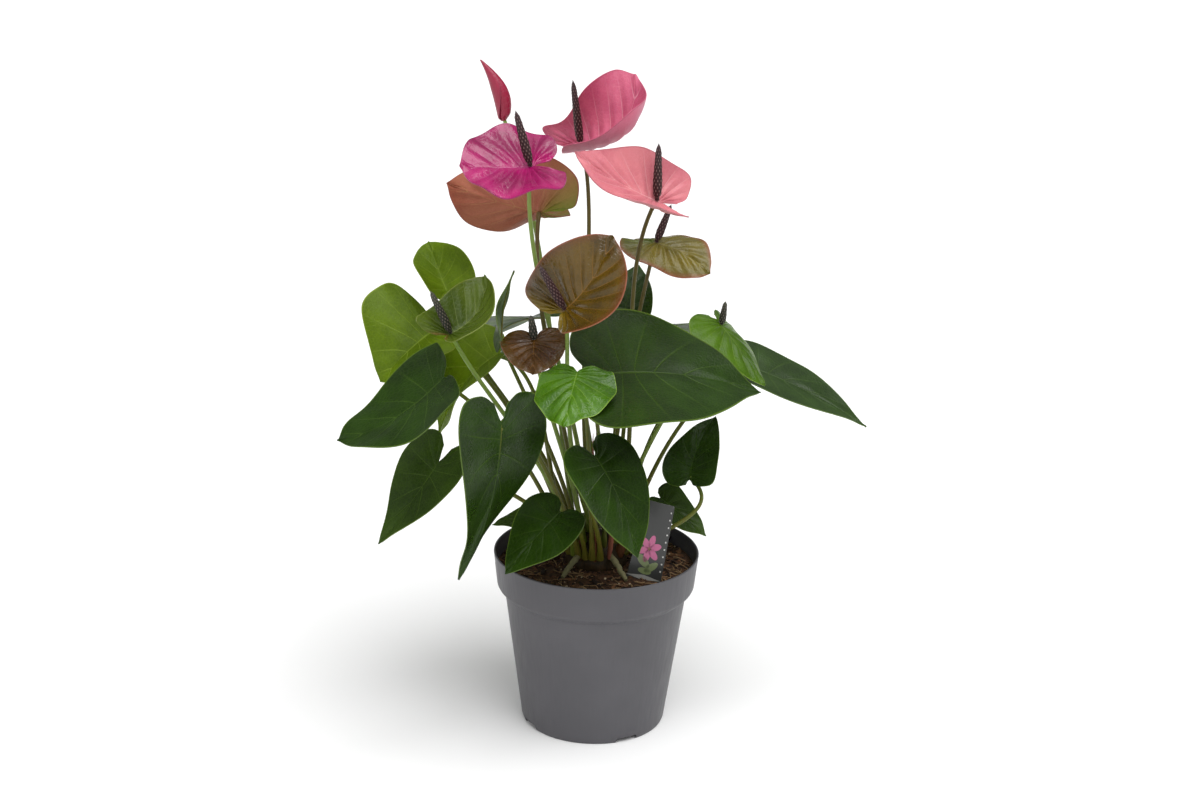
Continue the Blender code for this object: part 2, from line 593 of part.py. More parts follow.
def make_flower(blade, parts):
    """One flower: stalk, spathe and spadix, each a piece of its own."""
    _, _, out = axes_of(blade)
    finish = material(blade.name + "_spathe", blade.colour, 0.3)
    blade_object("spathe_" + blade.name, blade, SPATHE_THICKNESS, parts, finish)
    joint = surface_point(blade, SPATHE_JOINT, 0.0)
    foot = joint - out * (SPATHE_THICKNESS / 2 + GAP + SPATHE_SEAT)
    points = stem_points(blade, foot, (out + Vector((0, 0, 0.6))).normalized())
    radii = [STALK_RADIUS * (1.2 - 0.25 * step / (TUBE_POINTS - 1)) for step in range(TUBE_POINTS)]
    skin = material(blade.name + "_stalk", (0.10, 0.13, 0.03), 0.45)
    tube("stalk_" + blade.name, points, radii, parts, skin)
    if blade.spadix:
        length, radius = blade.spadix_size
        up = Vector(blade.spadix).normalized()
        start = joint + out * (SPATHE_THICKNESS / 2 + GAP + SPADIX_SEAT)
        points = [start + up * length * share for share in SPADIX_SHARES]
        radii = [radius * size for size in SPADIX_SWELL]
        skin = material(blade.name + "_spadix", (0.06, 0.02, 0.025), 0.6)
        tube("spadix_" + blade.name, points, radii, parts, skin, 2)


def make_bud(blade, parts):
    """The unopened flower: a spathe still rolled round its spadix, on its stalk."""
    along, _, _ = axes_of(blade)
    base = base_of(blade)
    side = Vector((BUD_BULGE, 0.0, 0.0))
    points = [base + along * blade.length * share + side * (4 * share * (1 - share))
              for share in BUD_SHARES]
    tube("spathe_bud", points, BUD_RADII, parts, material("bud_spathe", blade.colour, 0.3), 2)
    foot = base - along * (GAP + SPADIX_SEAT)
    stem = stem_points(blade, foot, along)
    radii = [STALK_RADIUS * (1.2 - 0.3 * step / (TUBE_POINTS - 1)) for step in range(TUBE_POINTS)]
    tube("stalk_bud", stem, radii, parts, material("bud_stalk", (0.10, 0.16, 0.03), 0.45))


def main():
    """Build the whole plant in its pot."""
    clear_scene()
    parts = new_collection("potted_anthurium")
    helpers = new_collection("helpers")
    make_pot(parts, helpers)
    make_medium(parts, helpers)
    make_label(parts)
    make_crown(parts)
    make_roots(parts)
    make_sheaths(parts)
    for blade in LEAVES:
        make_leaf(blade, parts, helpers)
    for blade in FLOWERS:
        make_flower(blade, parts)
    make_bud(BUD, parts)


main()
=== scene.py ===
"""Looks of a potted anthurium: leaves, flowers, crown, bark mix, nursery pot and plant tag.

Metres, +Z up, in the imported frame. Every piece rides on the one body of the row. A bearing is
measured from +X towards +Y, and the side that faces -Y is the front.
"""

import logging
import math
import random
from dataclasses import dataclass
from enum import Enum

import bmesh
import bpy
from mathutils import Matrix, Vector, noise


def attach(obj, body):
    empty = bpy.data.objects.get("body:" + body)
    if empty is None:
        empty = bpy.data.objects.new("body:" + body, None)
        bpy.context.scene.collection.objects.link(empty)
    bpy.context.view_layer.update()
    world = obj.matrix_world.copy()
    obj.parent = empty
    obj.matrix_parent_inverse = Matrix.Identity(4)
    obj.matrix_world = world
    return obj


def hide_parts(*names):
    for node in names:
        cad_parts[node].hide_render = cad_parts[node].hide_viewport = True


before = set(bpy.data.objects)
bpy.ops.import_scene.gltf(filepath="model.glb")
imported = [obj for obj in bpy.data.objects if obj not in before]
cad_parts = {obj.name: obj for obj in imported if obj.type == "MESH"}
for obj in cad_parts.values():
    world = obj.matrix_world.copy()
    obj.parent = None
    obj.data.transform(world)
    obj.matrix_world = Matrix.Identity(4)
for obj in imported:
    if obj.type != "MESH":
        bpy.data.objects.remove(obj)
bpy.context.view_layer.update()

LOG = logging.getLogger("anthurium")
BODY = "root"
MM = 0.001
BLADE_MAP = "blade"

MEDIUM_LEVEL = 0.138
MEDIUM_CROWN = 0.003
CROWN_RADIUS = 0.027
CROWN_HEIGHT = 0.026
CROWN_RINGS = (14.0, 38.0, 66.0)
PETIOLE_RADIUS = 0.0016
STALK_RADIUS = 0.0017


# ---------------------------------------------------------------- small tools

def linear(colour: str) -> tuple:
    """Turn an sRGB hex colour into linear RGBA.

    Args:
        colour: six hex digits after a hash sign.

    Returns:
        Four linear values, the last of them 1.
    """
    parts = [int(colour[i:i + 2], 16) / 255 for i in (1, 3, 5)]
    return (*[c / 12.92 if c <= 0.04045 else ((c + 0.055) / 1.055) ** 2.4 for c in parts], 1.0)


def wire(tree: bpy.types.NodeTree, kind: str, inputs: dict | None = None, take: int | str = 0,
         **settings) -> bpy.types.NodeSocket | None:
    """Add a node with its settings, values and links.

    Args:
        tree: the node tree that takes it.
        kind: the node's type, without its ShaderNode prefix.
        inputs: values or feeding sockets, by input name or number.
        take: the name or number of the output that is wanted.
        settings: properties of the node itself.

    Returns:
        The wanted output socket, or None where the node has none.
    """
    node = tree.nodes.new("ShaderNode" + kind)
    for name, value in settings.items():
        setattr(node, name, value)
    for name, value in (inputs or {}).items():
        if isinstance(value, bpy.types.NodeSocket):
            tree.links.new(value, node.inputs[name])
        else:
            node.inputs[name].default_value = value
    return node.outputs[take] if len(node.outputs) else None


def lay_over(tree: bpy.types.NodeTree, base: bpy.types.NodeSocket | tuple, mask: bpy.types.NodeSocket,
             colour: bpy.types.NodeSocket | tuple) -> bpy.types.NodeSocket:
    """Lay a colour over another where a mask says so."""
    return wire(tree, "Mix", {0: mask, 6: base, 7: colour}, 2, data_type="RGBA")


def new_material(name: str) -> tuple:
    """Make an empty node material and give it with its node tree."""
    material = bpy.data.materials.new(name)
    material.use_nodes = True
    material.node_tree.nodes.clear()
    return material, material.node_tree


def shade(tree: bpy.types.NodeTree, inputs: dict) -> None:
    """Add the Principled shader with its values, and the output that it feeds."""
    wire(tree, "OutputMaterial", {"Surface": wire(tree, "BsdfPrincipled", inputs)})


def make_object(name: str, shape: bmesh.types.BMesh, materials: list, angle: float = 40.0) -> bpy.types.Object:
    """Turn a bmesh into a smooth object at the origin.

    Args:
        name: the piece's name.
        shape: the finished bmesh, which is freed.
        materials: its materials, in slot order.
        angle: edges sharper than this many degrees stay crisp.

    Returns:
        The object, linked to the scene.
    """
    mesh = bpy.data.meshes.new(name)
    shape.to_mesh(mesh)
    shape.free()
    for material in materials:
        mesh.materials.append(material)
    mesh.shade_smooth()
    mesh.set_sharp_from_angle(angle=math.radians(angle))
    obj = bpy.data.objects.new(name, mesh)
    bpy.context.scene.collection.objects.link(obj)
    return obj


def applied(obj: bpy.types.Object) -> bmesh.types.BMesh:
    """Give an object's mesh with its modifiers applied, as a bmesh, and remove the object."""
    graph = bpy.context.evaluated_depsgraph_get()
    mesh = bpy.data.meshes.new_from_object(obj.evaluated_get(graph))
    shape = bmesh.new()
    shape.from_mesh(mesh)
    bpy.data.meshes.remove(mesh)
    bpy.data.objects.remove(obj, do_unlink=True)
    return shape


def show(obj: bpy.types.Object, slot: str, *nodes: str) -> None:
    """Ride a finished piece on the body and hide the CAD nodes that it stands for."""
    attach(obj, BODY)
    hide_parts(*nodes)
    LOG.info("%s: %d faces", obj.name, len(obj.data.polygons))


def curve_through(points: list, share: float) -> Vector:
    """Give the Catmull-Rom point at a share of the way through a list of vectors."""
    ends = [2 * points[0] - points[1], *points, 2 * points[-1] - points[-2]]
    place = share * (len(points) - 1)
    first = min(int(place), len(points) - 2)
    a, b, c, d = ends[first:first + 4]
    f = place - first
    return 0.5 * (2 * b + (c - a) * f + (2 * a - 5 * b + 4 * c - d) * f * f
                  + (3 * b - a - 3 * c + d) * f**3)


def bezier(points: tuple, share: float) -> Vector:
    """Give the point at a share of the way along a cubic Bezier curve."""
    a, b, c, d = points
    rest = 1.0 - share
    return a * rest**3 + b * (3 * rest * rest * share) + c * (3 * rest * share * share) + d * share**3


def crown_spot(ring: int, bearing: float) -> tuple:
    """Find where a stem leaves the crown.

    Args:
        ring: 0 for the top of the dome, 1 for its shoulder, 2 for its side.
        bearing: degrees from +X.

    Returns:
        The place on the dome and the direction that it faces.
    """
    tilt = math.radians(CROWN_RINGS[ring])
    turn = math.radians(bearing)
    out = Vector((math.cos(turn) * math.sin(tilt), math.sin(turn) * math.sin(tilt), math.cos(tilt)))
    level = MEDIUM_LEVEL + MEDIUM_CROWN
    return Vector((out.x * CROWN_RADIUS, out.y * CROWN_RADIUS, level + out.z * CROWN_HEIGHT)), out


def sweep(shape: bmesh.types.BMesh, points: list, radii: list, sides: int, slot: int = 0,
          flatten: float = 1.0) -> None:
    """Sweep a ring along points by extruding it from one station to the next.

    Args:
        shape: the bmesh that takes the tube.
        points: the stations, in order.
        radii: the tube's radius at each station.
        sides: how many sides the ring has.
        slot: the material slot of the tube's faces.
        flatten: the ring's depth as a share of its width.
    """
    uv = shape.loops.layers.uv.get(BLADE_MAP) or shape.loops.layers.uv.new(BLADE_MAP)
    last = len(points) - 1
    tangents = [(points[min(i + 1, last)] - points[max(i - 1, 0)]).normalized() for i in range(last + 1)]
    turn = tangents[0].to_track_quat("Z", "X")
    places = []
    for i, tangent in enumerate(tangents):
        if i:
            turn = tangents[i - 1].rotation_difference(tangent) @ turn
        size = Matrix.Diagonal((radii[i], radii[i] * flatten, radii[i], 1.0))
        places.append(Matrix.Translation(points[i]) @ turn.to_matrix().to_4x4() @ size)
    ring = bmesh.ops.create_circle(shape, cap_ends=True, segments=sides, radius=1.0, matrix=places[0])["verts"]
    faces = list({face for vert in ring for face in vert.link_faces})
    edges = list({edge for vert in ring for edge in vert.link_edges})
    stations = {vert: 0.0 for vert in ring}
    for i in range(1, last + 1):
        grown = bmesh.ops.extrude_edge_only(shape, edges=edges)["geom"]
        verts = {item for item in grown if isinstance(item, bmesh.types.BMVert)}
        edges = [item for item in grown if isinstance(item, bmesh.types.BMEdge)
                 and item.verts[0] in verts and item.verts[1] in verts]
        faces += [item for item in grown if isinstance(item, bmesh.types.BMFace)]
        bmesh.ops.transform(shape, matrix=places[i] @ places[i - 1].inverted(), space=Matrix.Identity(4),
                            verts=list(verts))
        stations.update({vert: i / last for vert in verts})
    faces += bmesh.ops.edgeloop_fill(shape, edges=edges)["faces"]
    bmesh.ops.recalc_face_normals(shape, faces=faces)
    for face in faces:
        face.material_index = slot
        for loop in face.loops:
            loop[uv].uv = (stations[loop.vert], 0.5)


def rounded(profile: list, radius: float, steps: int = 3) -> list:
    """Round the corners of a profile with short arcs.

    Args:
        profile: (radius, height) corners, of which the first and last stay.
        radius: how far from a corner its arc starts, where there is room.
        steps: how many parts each arc has.

    Returns:
        The rounded profile's points.
    """
    points = [Vector(corner) for corner in profile]
    smooth = [points[0]]
    for before, corner, after in zip(points, points[1:], points[2:]):
        room = min(radius, 0.45 * (before - corner).length, 0.45 * (after - corner).length)
        first = corner + (before - corner).normalized() * room
        last = corner + (after - corner).normalized() * room
        for step in range(steps + 1):
            f = step / steps
            smooth.append(first * (1 - f)**2 + corner * (2 * f * (1 - f)) + last * f * f)
    return smooth + [points[-1]]


def turned(profile: list, steps: int) -> bmesh.types.BMesh:
    """Spin a (radius, height) profile about the Z axis into a closed skin.

    Args:
        profile: points that start and end on the axis.
        steps: how many steps make the full turn.

    Returns:
        The bmesh, with its poles merged and its faces turned outwards.
    """
    shape = bmesh.new()
    verts = [shape.verts.new((point[0], 0.0, point[1])) for point in profile]
    edges = [shape.edges.new(pair) for pair in zip(verts, verts[1:])]
    bmesh.ops.spin(shape, geom=verts + edges, cent=(0, 0, 0), axis=(0, 0, 1), steps=steps,
                   angle=2 * math.pi, use_merge=True)
    bmesh.ops.remove_doubles(shape, verts=shape.verts, dist=0.01 * MM)
    bmesh.ops.recalc_face_normals(shape, faces=shape.faces)
    return shape


# ---------------------------------------------------------------- finishes

class Side(Enum):
    """Which part of a leaf or spathe a material covers."""

    UPPER = "upper"
    UNDER = "under"
    MARGIN = "margin"


@dataclass(frozen=True)
class BladeSkin:
    """Living leaf or spathe tissue: a waxy cuticle over coloured cells, with paler veins."""

    name: str
    face: str
    deep: str
    vein: str
    under: str
    margin: str
    heart: str = ""
    heart_reach: float = 0.30
    edge: str = ""
    edge_reach: float = 0.35
    roughness: float = 0.36
    gloss: float = 0.35
    veins: float = 7.5
    rake: float = 3.4
    vein_width: float = 0.055
    vein_strength: float = 0.5
    net_strength: float = 0.08
    relief: float = 1.0
    glow: float = 0.0

    def material(self, side: Side) -> bpy.types.Material:
        """Make one side's material, once.

        Args:
            side: the upper face, the underside or the thin margin.

        Returns:
            The material, shared by every blade with this skin.
        """
        name = f"{self.name}_{side.value}"
        if name in bpy.data.materials:
            return bpy.data.materials[name]
        material, tree = new_material(name)
        coords = wire(tree, "TexCoord", take="Object")
        grain = wire(tree, "TexNoise", {"Vector": coords, "Scale": 900.0, "Detail": 3.0})
        if side is Side.MARGIN:
            tint = lay_over(tree, linear(self.margin), grain, linear(self.face))
            shade(tree, {"Base Color": tint, "Roughness": 0.5})
            return material
        uv = wire(tree, "UVMap", take="UV", uv_map=BLADE_MAP)
        split = wire(tree, "SeparateXYZ", {"Vector": uv}).node
        along, across = split.outputs["X"], split.outputs["Y"]
        reach = wire(tree, "Math", {0: across, 1: 2.0, 2: -1.0}, operation="MULTIPLY_ADD")
        reach = wire(tree, "Math", {0: reach}, operation="ABSOLUTE")
        vein = self.vein_mask(tree, along, reach)
        # the fine net between the side veins has cells of about 3 mm
        net = wire(tree, "TexVoronoi", {"Vector": coords, "Scale": 320.0}, feature="DISTANCE_TO_EDGE")
        net = wire(tree, "MapRange", {"Value": net, "From Min": 0.0, "From Max": 0.16, "To Min": 1.0, "To Max": 0.0})
        tint = self.tissue(tree, coords, along, reach, side)
        strength = self.vein_strength if side is Side.UPPER else 0.7 * self.vein_strength
        mask = wire(tree, "Math", {0: vein, 1: strength}, operation="MULTIPLY")
        tint = lay_over(tree, tint, mask, linear(self.vein))
        mask = wire(tree, "Math", {0: net, 1: self.net_strength}, operation="MULTIPLY")
        tint = lay_over(tree, tint, mask, linear(self.vein))
        rim = wire(tree, "MapRange", {"Value": reach, "From Min": 0.975, "From Max": 0.995, "To Max": 0.7})
        tint = lay_over(tree, tint, rim, linear(self.margin))
        relief = wire(tree, "Math", {0: vein, 1: -0.6}, operation="MULTIPLY")
        relief = wire(tree, "Math", {0: net, 1: -0.20, 2: relief}, operation="MULTIPLY_ADD")
        relief = wire(tree, "Math", {0: grain, 1: 0.10, 2: relief}, operation="MULTIPLY_ADD")
        bump = wire(tree, "Bump", {"Height": relief, "Strength": 0.5, "Distance": self.relief * MM})
        rough = self.roughness if side is Side.UPPER else min(0.65, self.roughness + 0.18)
        cloud = wire(tree, "TexNoise", {"Vector": coords, "Scale": 45.0, "Detail": 4.0})
        rough = wire(tree, "MapRange", {"Value": cloud, "From Min": 0.3, "From Max": 0.7,
                                        "To Min": rough - 0.05, "To Max": rough + 0.08})
        values = {"Base Color": tint, "Roughness": rough, "Normal": bump, "IOR": 1.45,
                  "Specular IOR Level": self.gloss}
        if self.glow:
            values.update({"Subsurface Weight": self.glow, "Subsurface Scale": 1.0 * MM,
                           "Subsurface Radius": (1.0, 1.0, 0.4)})
        shade(tree, values)
        return material

    def vein_mask(self, tree: bpy.types.NodeTree, along: bpy.types.NodeSocket,
                  reach: bpy.types.NodeSocket) -> bpy.types.NodeSocket:
        """Draw the midrib and the side veins, which follow the blade's own rows out to the margin.

        Args:
            tree: the material's node tree.
            along: the row's share, from the notch round to the tip.
            reach: the share of the way from the midrib to the margin.

        Returns:
            A mask that is 1 on a vein.
        """
        part = wire(tree, "Math", {0: along, 1: self.veins, 2: 0.5}, operation="MULTIPLY_ADD")
        part = wire(tree, "Math", {0: part}, operation="FRACT")
        part = wire(tree, "Math", {0: part, 1: 0.5}, operation="SUBTRACT")
        part = wire(tree, "Math", {0: part}, operation="ABSOLUTE")
        side = wire(tree, "MapRange", {"Value": part, "From Min": 0.004, "From Max": self.vein_width, "To Min": 1.0,
                                       "To Max": 0.0}, interpolation_type="SMOOTHSTEP")
        fade = wire(tree, "MapRange", {"Value": reach, "From Min": 0.30, "From Max": 0.97, "To Min": 0.9,
                                       "To Max": 0.1})
        side = wire(tree, "Math", {0: side, 1: fade}, operation="MULTIPLY")
        midrib = wire(tree, "MapRange", {"Value": reach, "From Min": 0.004, "From Max": 0.026, "To Min": 1.0,
                                         "To Max": 0.0}, interpolation_type="SMOOTHSTEP")
        return wire(tree, "Math", {0: side, 1: midrib}, operation="MAXIMUM")

    def tissue(self, tree: bpy.types.NodeTree, coords: bpy.types.NodeSocket, along: bpy.types.NodeSocket,
               reach: bpy.types.NodeSocket, side: Side) -> bpy.types.NodeSocket:
        """Colour the cells between the veins, with the heart and edge tints where the skin has them.

        Args:
            tree: the material's node tree.
            coords: object coordinates.
            along: the row's share.
            reach: the share of the way out to the margin.
            side: the upper face or the underside.

        Returns:
            The colour socket.
        """
        patch = wire(tree, "TexNoise", {"Vector": coords, "Scale": 30.0, "Detail": 3.0})
        patch = wire(tree, "MapRange", {"Value": patch, "From Min": 0.38, "From Max": 0.62})
        face, deep = (self.face, self.deep) if side is Side.UPPER else (self.under, self.face)
        tint = lay_over(tree, linear(face), patch, linear(deep))
        if self.edge:
            outer = wire(tree, "MapRange", {"Value": reach, "From Min": 1.0 - self.edge_reach, "From Max": 1.0,
                                            "To Max": 0.85}, interpolation_type="SMOOTHSTEP")
            tint = lay_over(tree, tint, outer, linear(self.edge))
        if self.heart:
            core = wire(tree, "MapRange", {"Value": along, "From Min": 0.0, "From Max": self.heart_reach,
                                           "To Min": 0.95, "To Max": 0.0}, interpolation_type="SMOOTHSTEP")
            tint = lay_over(tree, tint, core, linear(self.heart))
        return tint


@dataclass(frozen=True)
class StemSkin:
    """Smooth waxy stem skin, streaked along its length and tinted from its foot to its top."""

    name: str
    foot: str
    top: str
    streak: str
    roughness: float = 0.42

    def material(self) -> bpy.types.Material:
        """Make the material, once."""
        if self.name in bpy.data.materials:
            return bpy.data.materials[self.name]
        material, tree = new_material(self.name)
        coords = wire(tree, "TexCoord", take="Object")
        uv = wire(tree, "UVMap", take="UV", uv_map=BLADE_MAP)
        station = wire(tree, "SeparateXYZ", {"Vector": uv}, "X")
        tint = lay_over(tree, linear(self.foot), station, linear(self.top))
        # streaks are a millimetre wide and a few centimetres long
        drawn = wire(tree, "Mapping", {"Vector": coords, "Scale": (900.0, 900.0, 40.0)})
        streak = wire(tree, "TexNoise", {"Vector": drawn, "Scale": 1.0, "Detail": 2.0})
        streak = wire(tree, "MapRange", {"Value": streak, "From Min": 0.45, "From Max": 0.75, "To Max": 0.7})
        tint = lay_over(tree, tint, streak, linear(self.streak))
        bump = wire(tree, "Bump", {"Height": streak, "Strength": 0.25, "Distance": 0.2 * MM})
        shade(tree, {"Base Color": tint, "Roughness": self.roughness, "Normal": bump, "IOR": 1.45,
                     "Specular IOR Level": 0.35})
        return material


@dataclass(frozen=True)
class SpadixSkin:
    """The flower spike's skin: hundreds of small florets, with painted shade darkening the grooves between them."""

    name: str
    crest: str
    groove_shade: str
    tip: str

    def material(self) -> bpy.types.Material:
        """Make the material, once."""
        if self.name in bpy.data.materials:
            return bpy.data.materials[self.name]
        material, tree = new_material(self.name)
        crest = wire(tree, "Attribute", take="Fac", attribute_name="crest")
        reach = wire(tree, "Attribute", take="Fac", attribute_name="reach")
        coords = wire(tree, "TexCoord", take="Object")
        # the groove colour is painted shade in the sunken grooves between the florets; the crest colour lies on the
        # florets
        tint = lay_over(tree, linear(self.groove_shade), crest, linear(self.crest))
        end = wire(tree, "MapRange", {"Value": reach, "From Min": 0.55, "From Max": 1.0, "To Max": 0.8})
        tint = lay_over(tree, tint, end, linear(self.tip))
        # the stigma in the middle of each floret is a pale dot
        dot = wire(tree, "MapRange", {"Value": crest, "From Min": 0.80, "From Max": 0.97, "To Max": 0.75})
        tint = lay_over(tree, tint, dot, linear("#8d7a72"))
        grain = wire(tree, "TexNoise", {"Vector": coords, "Scale": 1800.0, "Detail": 2.0})
        bump = wire(tree, "Bump", {"Height": grain, "Strength": 0.3, "Distance": 0.15 * MM})
        shade(tree, {"Base Color": tint, "Roughness": 0.5, "Normal": bump, "IOR": 1.45,
                     "Specular IOR Level": 0.35})
        return material


@dataclass(frozen=True)
class DryFibre:
    """Dry plant matter such as bark, roots and papery sheaths, streaked and rough."""

    name: str
    light: str
    dark: str
    scale: tuple = (500.0, 500.0, 120.0)
    roughness: float = 0.85

    def material(self) -> bpy.types.Material:
        """Make the material, once."""
        if self.name in bpy.data.materials:
            return bpy.data.materials[self.name]
        material, tree = new_material(self.name)
        coords = wire(tree, "TexCoord", take="Object")
        tone = wire(tree, "Attribute", take="Fac", attribute_name="tone")
        drawn = wire(tree, "Mapping", {"Vector": coords, "Scale": self.scale})
        grain = wire(tree, "TexNoise", {"Vector": drawn, "Scale": 1.0, "Detail": 5.0, "Roughness": 0.65})
        mask = wire(tree, "Math", {0: grain, 1: tone}, operation="ADD")
        mask = wire(tree, "MapRange", {"Value": mask, "From Min": 0.35, "From Max": 1.15})
        tint = lay_over(tree, linear(self.dark), mask, linear(self.light))
        bump = wire(tree, "Bump", {"Height": grain, "Strength": 0.6, "Distance": 0.6 * MM})
        shade(tree, {"Base Color": tint, "Roughness": self.roughness, "Normal": bump,
                     "Specular IOR Level": 0.3})
        return material


@dataclass(frozen=True)
class MouldedPolypropylene:
    """Grey injection-moulded polypropylene with a fine satin texture from its mould."""

    name: str = "pot_polypropylene"
    colour: str = "#4a494d"
    scuff: str = "#5e5d62"

    def material(self) -> bpy.types.Material:
        """Make the material."""
        material, tree = new_material(self.name)
        coords = wire(tree, "TexCoord", take="Object")
        fine = wire(tree, "TexNoise", {"Vector": coords, "Scale": 2200.0, "Detail": 2.0})
        cloud = wire(tree, "TexNoise", {"Vector": coords, "Scale": 18.0, "Detail": 4.0})
        mask = wire(tree, "MapRange", {"Value": cloud, "From Min": 0.45, "From Max": 0.8, "To Max": 0.3})
        tint = lay_over(tree, linear(self.colour), mask, linear(self.scuff))
        # faint drawn streaks where the pot slid off its core
        drawn = wire(tree, "Mapping", {"Vector": coords, "Scale": (420.0, 420.0, 9.0)})
        streak = wire(tree, "TexNoise", {"Vector": drawn, "Scale": 1.0, "Detail": 2.0})
        rough = wire(tree, "MapRange", {"Value": streak, "From Min": 0.3, "From Max": 0.7, "To Min": 0.40,
                                        "To Max": 0.52})
        relief = wire(tree, "Math", {0: streak, 1: 0.5, 2: fine}, operation="MULTIPLY_ADD")
        bump = wire(tree, "Bump", {"Height": relief, "Strength": 0.22, "Distance": 0.1 * MM})
        shade(tree, {"Base Color": tint, "Roughness": rough, "Normal": bump, "IOR": 1.49})
        return material


@dataclass(frozen=True)
class PrintedCard:
    """Printed and laminated plastic card, one ink colour to a material."""

    name: str
    ink: str

    def material(self) -> bpy.types.Material:
        """Make the material."""
        material, tree = new_material(self.name)
        coords = wire(tree, "TexCoord", take="Object")
        screen = wire(tree, "TexNoise", {"Vector": coords, "Scale": 1500.0, "Detail": 2.0})
        tone = wire(tree, "HueSaturation", {"Color": linear(self.ink),
                                            "Value": wire(tree, "MapRange", {"Value": screen, "To Min": 0.85,
                                                                             "To Max": 1.15})})
        shade(tree, {"Base Color": tone, "Roughness": 0.32, "Coat Weight": 0.3, "Coat Roughness": 0.15})
        return material


# Glossy mature leaf, mid-age leaf, light leaf (its pale face partly its own colour and partly painted backlight) and
# soft young leaf
DEEP = BladeSkin("deep_leaf", "#223a07", "#192d04", "#4c681e", "#4c6a20", "#5f7826", roughness=0.30, gloss=0.2,
                 vein_strength=0.34)
DEEP_SHEEN = BladeSkin("sheen_leaf", "#263e0c", "#1b3006", "#526e26", "#4f6c26", "#607829", roughness=0.36,
                       gloss=0.4, vein_strength=0.28)
MID = BladeSkin("mid_leaf", "#31480b", "#243806", "#5c7828", "#5a7828", "#6a8028", roughness=0.36, gloss=0.2,
                vein_strength=0.34)
# the light leaf's pale yellow-green face is partly the leaf's own colour and partly painted backlight glow, on top of
# its small subsurface
LIGHT_AND_BACKLIT = BladeSkin("light_leaf", "#5a7208", "#4a6005", "#8ea43a", "#86a03e", "#86982e", roughness=0.40, gloss=0.15,
                  veins=6.5, vein_strength=0.40, glow=0.12)
YOUNG = BladeSkin("young_leaf", "#467206", "#2f5602", "#80a83c", "#789838", "#86a83c", roughness=0.22, gloss=0.45,
                  veins=8.5, rake=4.6, vein_strength=0.60, relief=1.2, glow=0.05)

# Spathes, by their main colour
MAGENTA = BladeSkin("magenta_spathe", "#a80f62", "#820848", "#c04c8c", "#9c2c70", "#741648", roughness=0.18,
                    gloss=0.7, veins=9.5, rake=4.6, vein_strength=0.42, net_strength=0.04, glow=0.03)
PINK = BladeSkin("pink_spathe", "#cc6480", "#b8506e", "#e2a0ae", "#cc7c92", "#a44660", roughness=0.32,
                 gloss=0.35, veins=10.5, rake=4.6, vein_strength=0.6, net_strength=0.06, glow=0.10)
SALMON = BladeSkin("salmon_spathe", "#d27c84", "#be6672", "#ecb4b4", "#c8848a", "#a45662", roughness=0.30,
                   gloss=0.4, veins=10.5, rake=4.6, vein_strength=0.65, net_strength=0.06, glow=0.06)
ORANGE = BladeSkin("terracotta_spathe", "#8a4a38", "#743c28", "#b08454", "#a0624c", "#843e36", heart="#6c7c20",
                   heart_reach=0.50, roughness=0.36, gloss=0.2, veins=9.5, rake=4.6, vein_strength=0.6,
                   net_strength=0.10, glow=0.03)
BRONZE = BladeSkin("bronze_spathe", "#5a4404", "#403002", "#9c6c28", "#6c4c2c", "#a05844", heart="#84701c",
                   heart_reach=0.40, edge="#5a3412", edge_reach=0.18, roughness=0.18, gloss=0.6, veins=10.5,
                   rake=4.6, vein_strength=0.45, net_strength=0.06)
BROWN = BladeSkin("brown_spathe", "#523610", "#362006", "#8c6430", "#624026", "#7c4a34", edge="#4c3810",
                  edge_reach=0.30, roughness=0.22, gloss=0.5, veins=8.5, rake=4.6, vein_strength=0.55,
                  net_strength=0.05)
OLIVE = BladeSkin("olive_spathe", "#4c5e12", "#3a4c08", "#8c9a58", "#74803a", "#7c8838", heart="#66521e",
                  heart_reach=0.20, roughness=0.30, gloss=0.3, veins=9.5, rake=4.6, vein_strength=0.55,
                  net_strength=0.05)
TAN = BladeSkin("tan_spathe", "#6e6218", "#564e0e", "#a49a60", "#7c7040", "#904a3a", heart="#485c10",
                heart_reach=0.48, edge="#7c4626", edge_reach=0.16, roughness=0.24, gloss=0.5, veins=9.5,
                rake=4.6, vein_strength=0.6, net_strength=0.05, glow=0.03)
GREEN = BladeSkin("green_spathe", "#466806", "#345202", "#7a9432", "#62802a", "#6e882c", roughness=0.32,
                  gloss=0.3, veins=8.5, rake=4.6, vein_strength=0.36, net_strength=0.06)
CRIMSON = BladeSkin("crimson_spathe", "#8e0430", "#6c0222", "#a41c4c", "#960a3a", "#8c1c40", roughness=0.18,
                    gloss=0.7, veins=10.5, rake=4.6, vein_strength=0.25, net_strength=0.04)

LEAF_STEM = StemSkin("petiole_skin", "#58561a", "#566a1c", "#6c5a20")
BROWN_STALK = StemSkin("brown_stalk_skin", "#566018", "#584824", "#6a5c2e")
GREEN_STALK = StemSkin("green_stalk_skin", "#5c6c18", "#7c9848", "#848c48")

# spadix skins: floret crest colour, painted shade for the grooves between florets, and tip colour
WINE_SPIKE = SpadixSkin("wine_spike", "#472629", "#150707", "#3c3034")
GREEN_SPIKE = SpadixSkin("green_spike", "#34362a", "#101208", "#484c3e")

ROW_COUNT = 88
COLUMN_COUNT = 16


# ---------------------------------------------------------------- blades

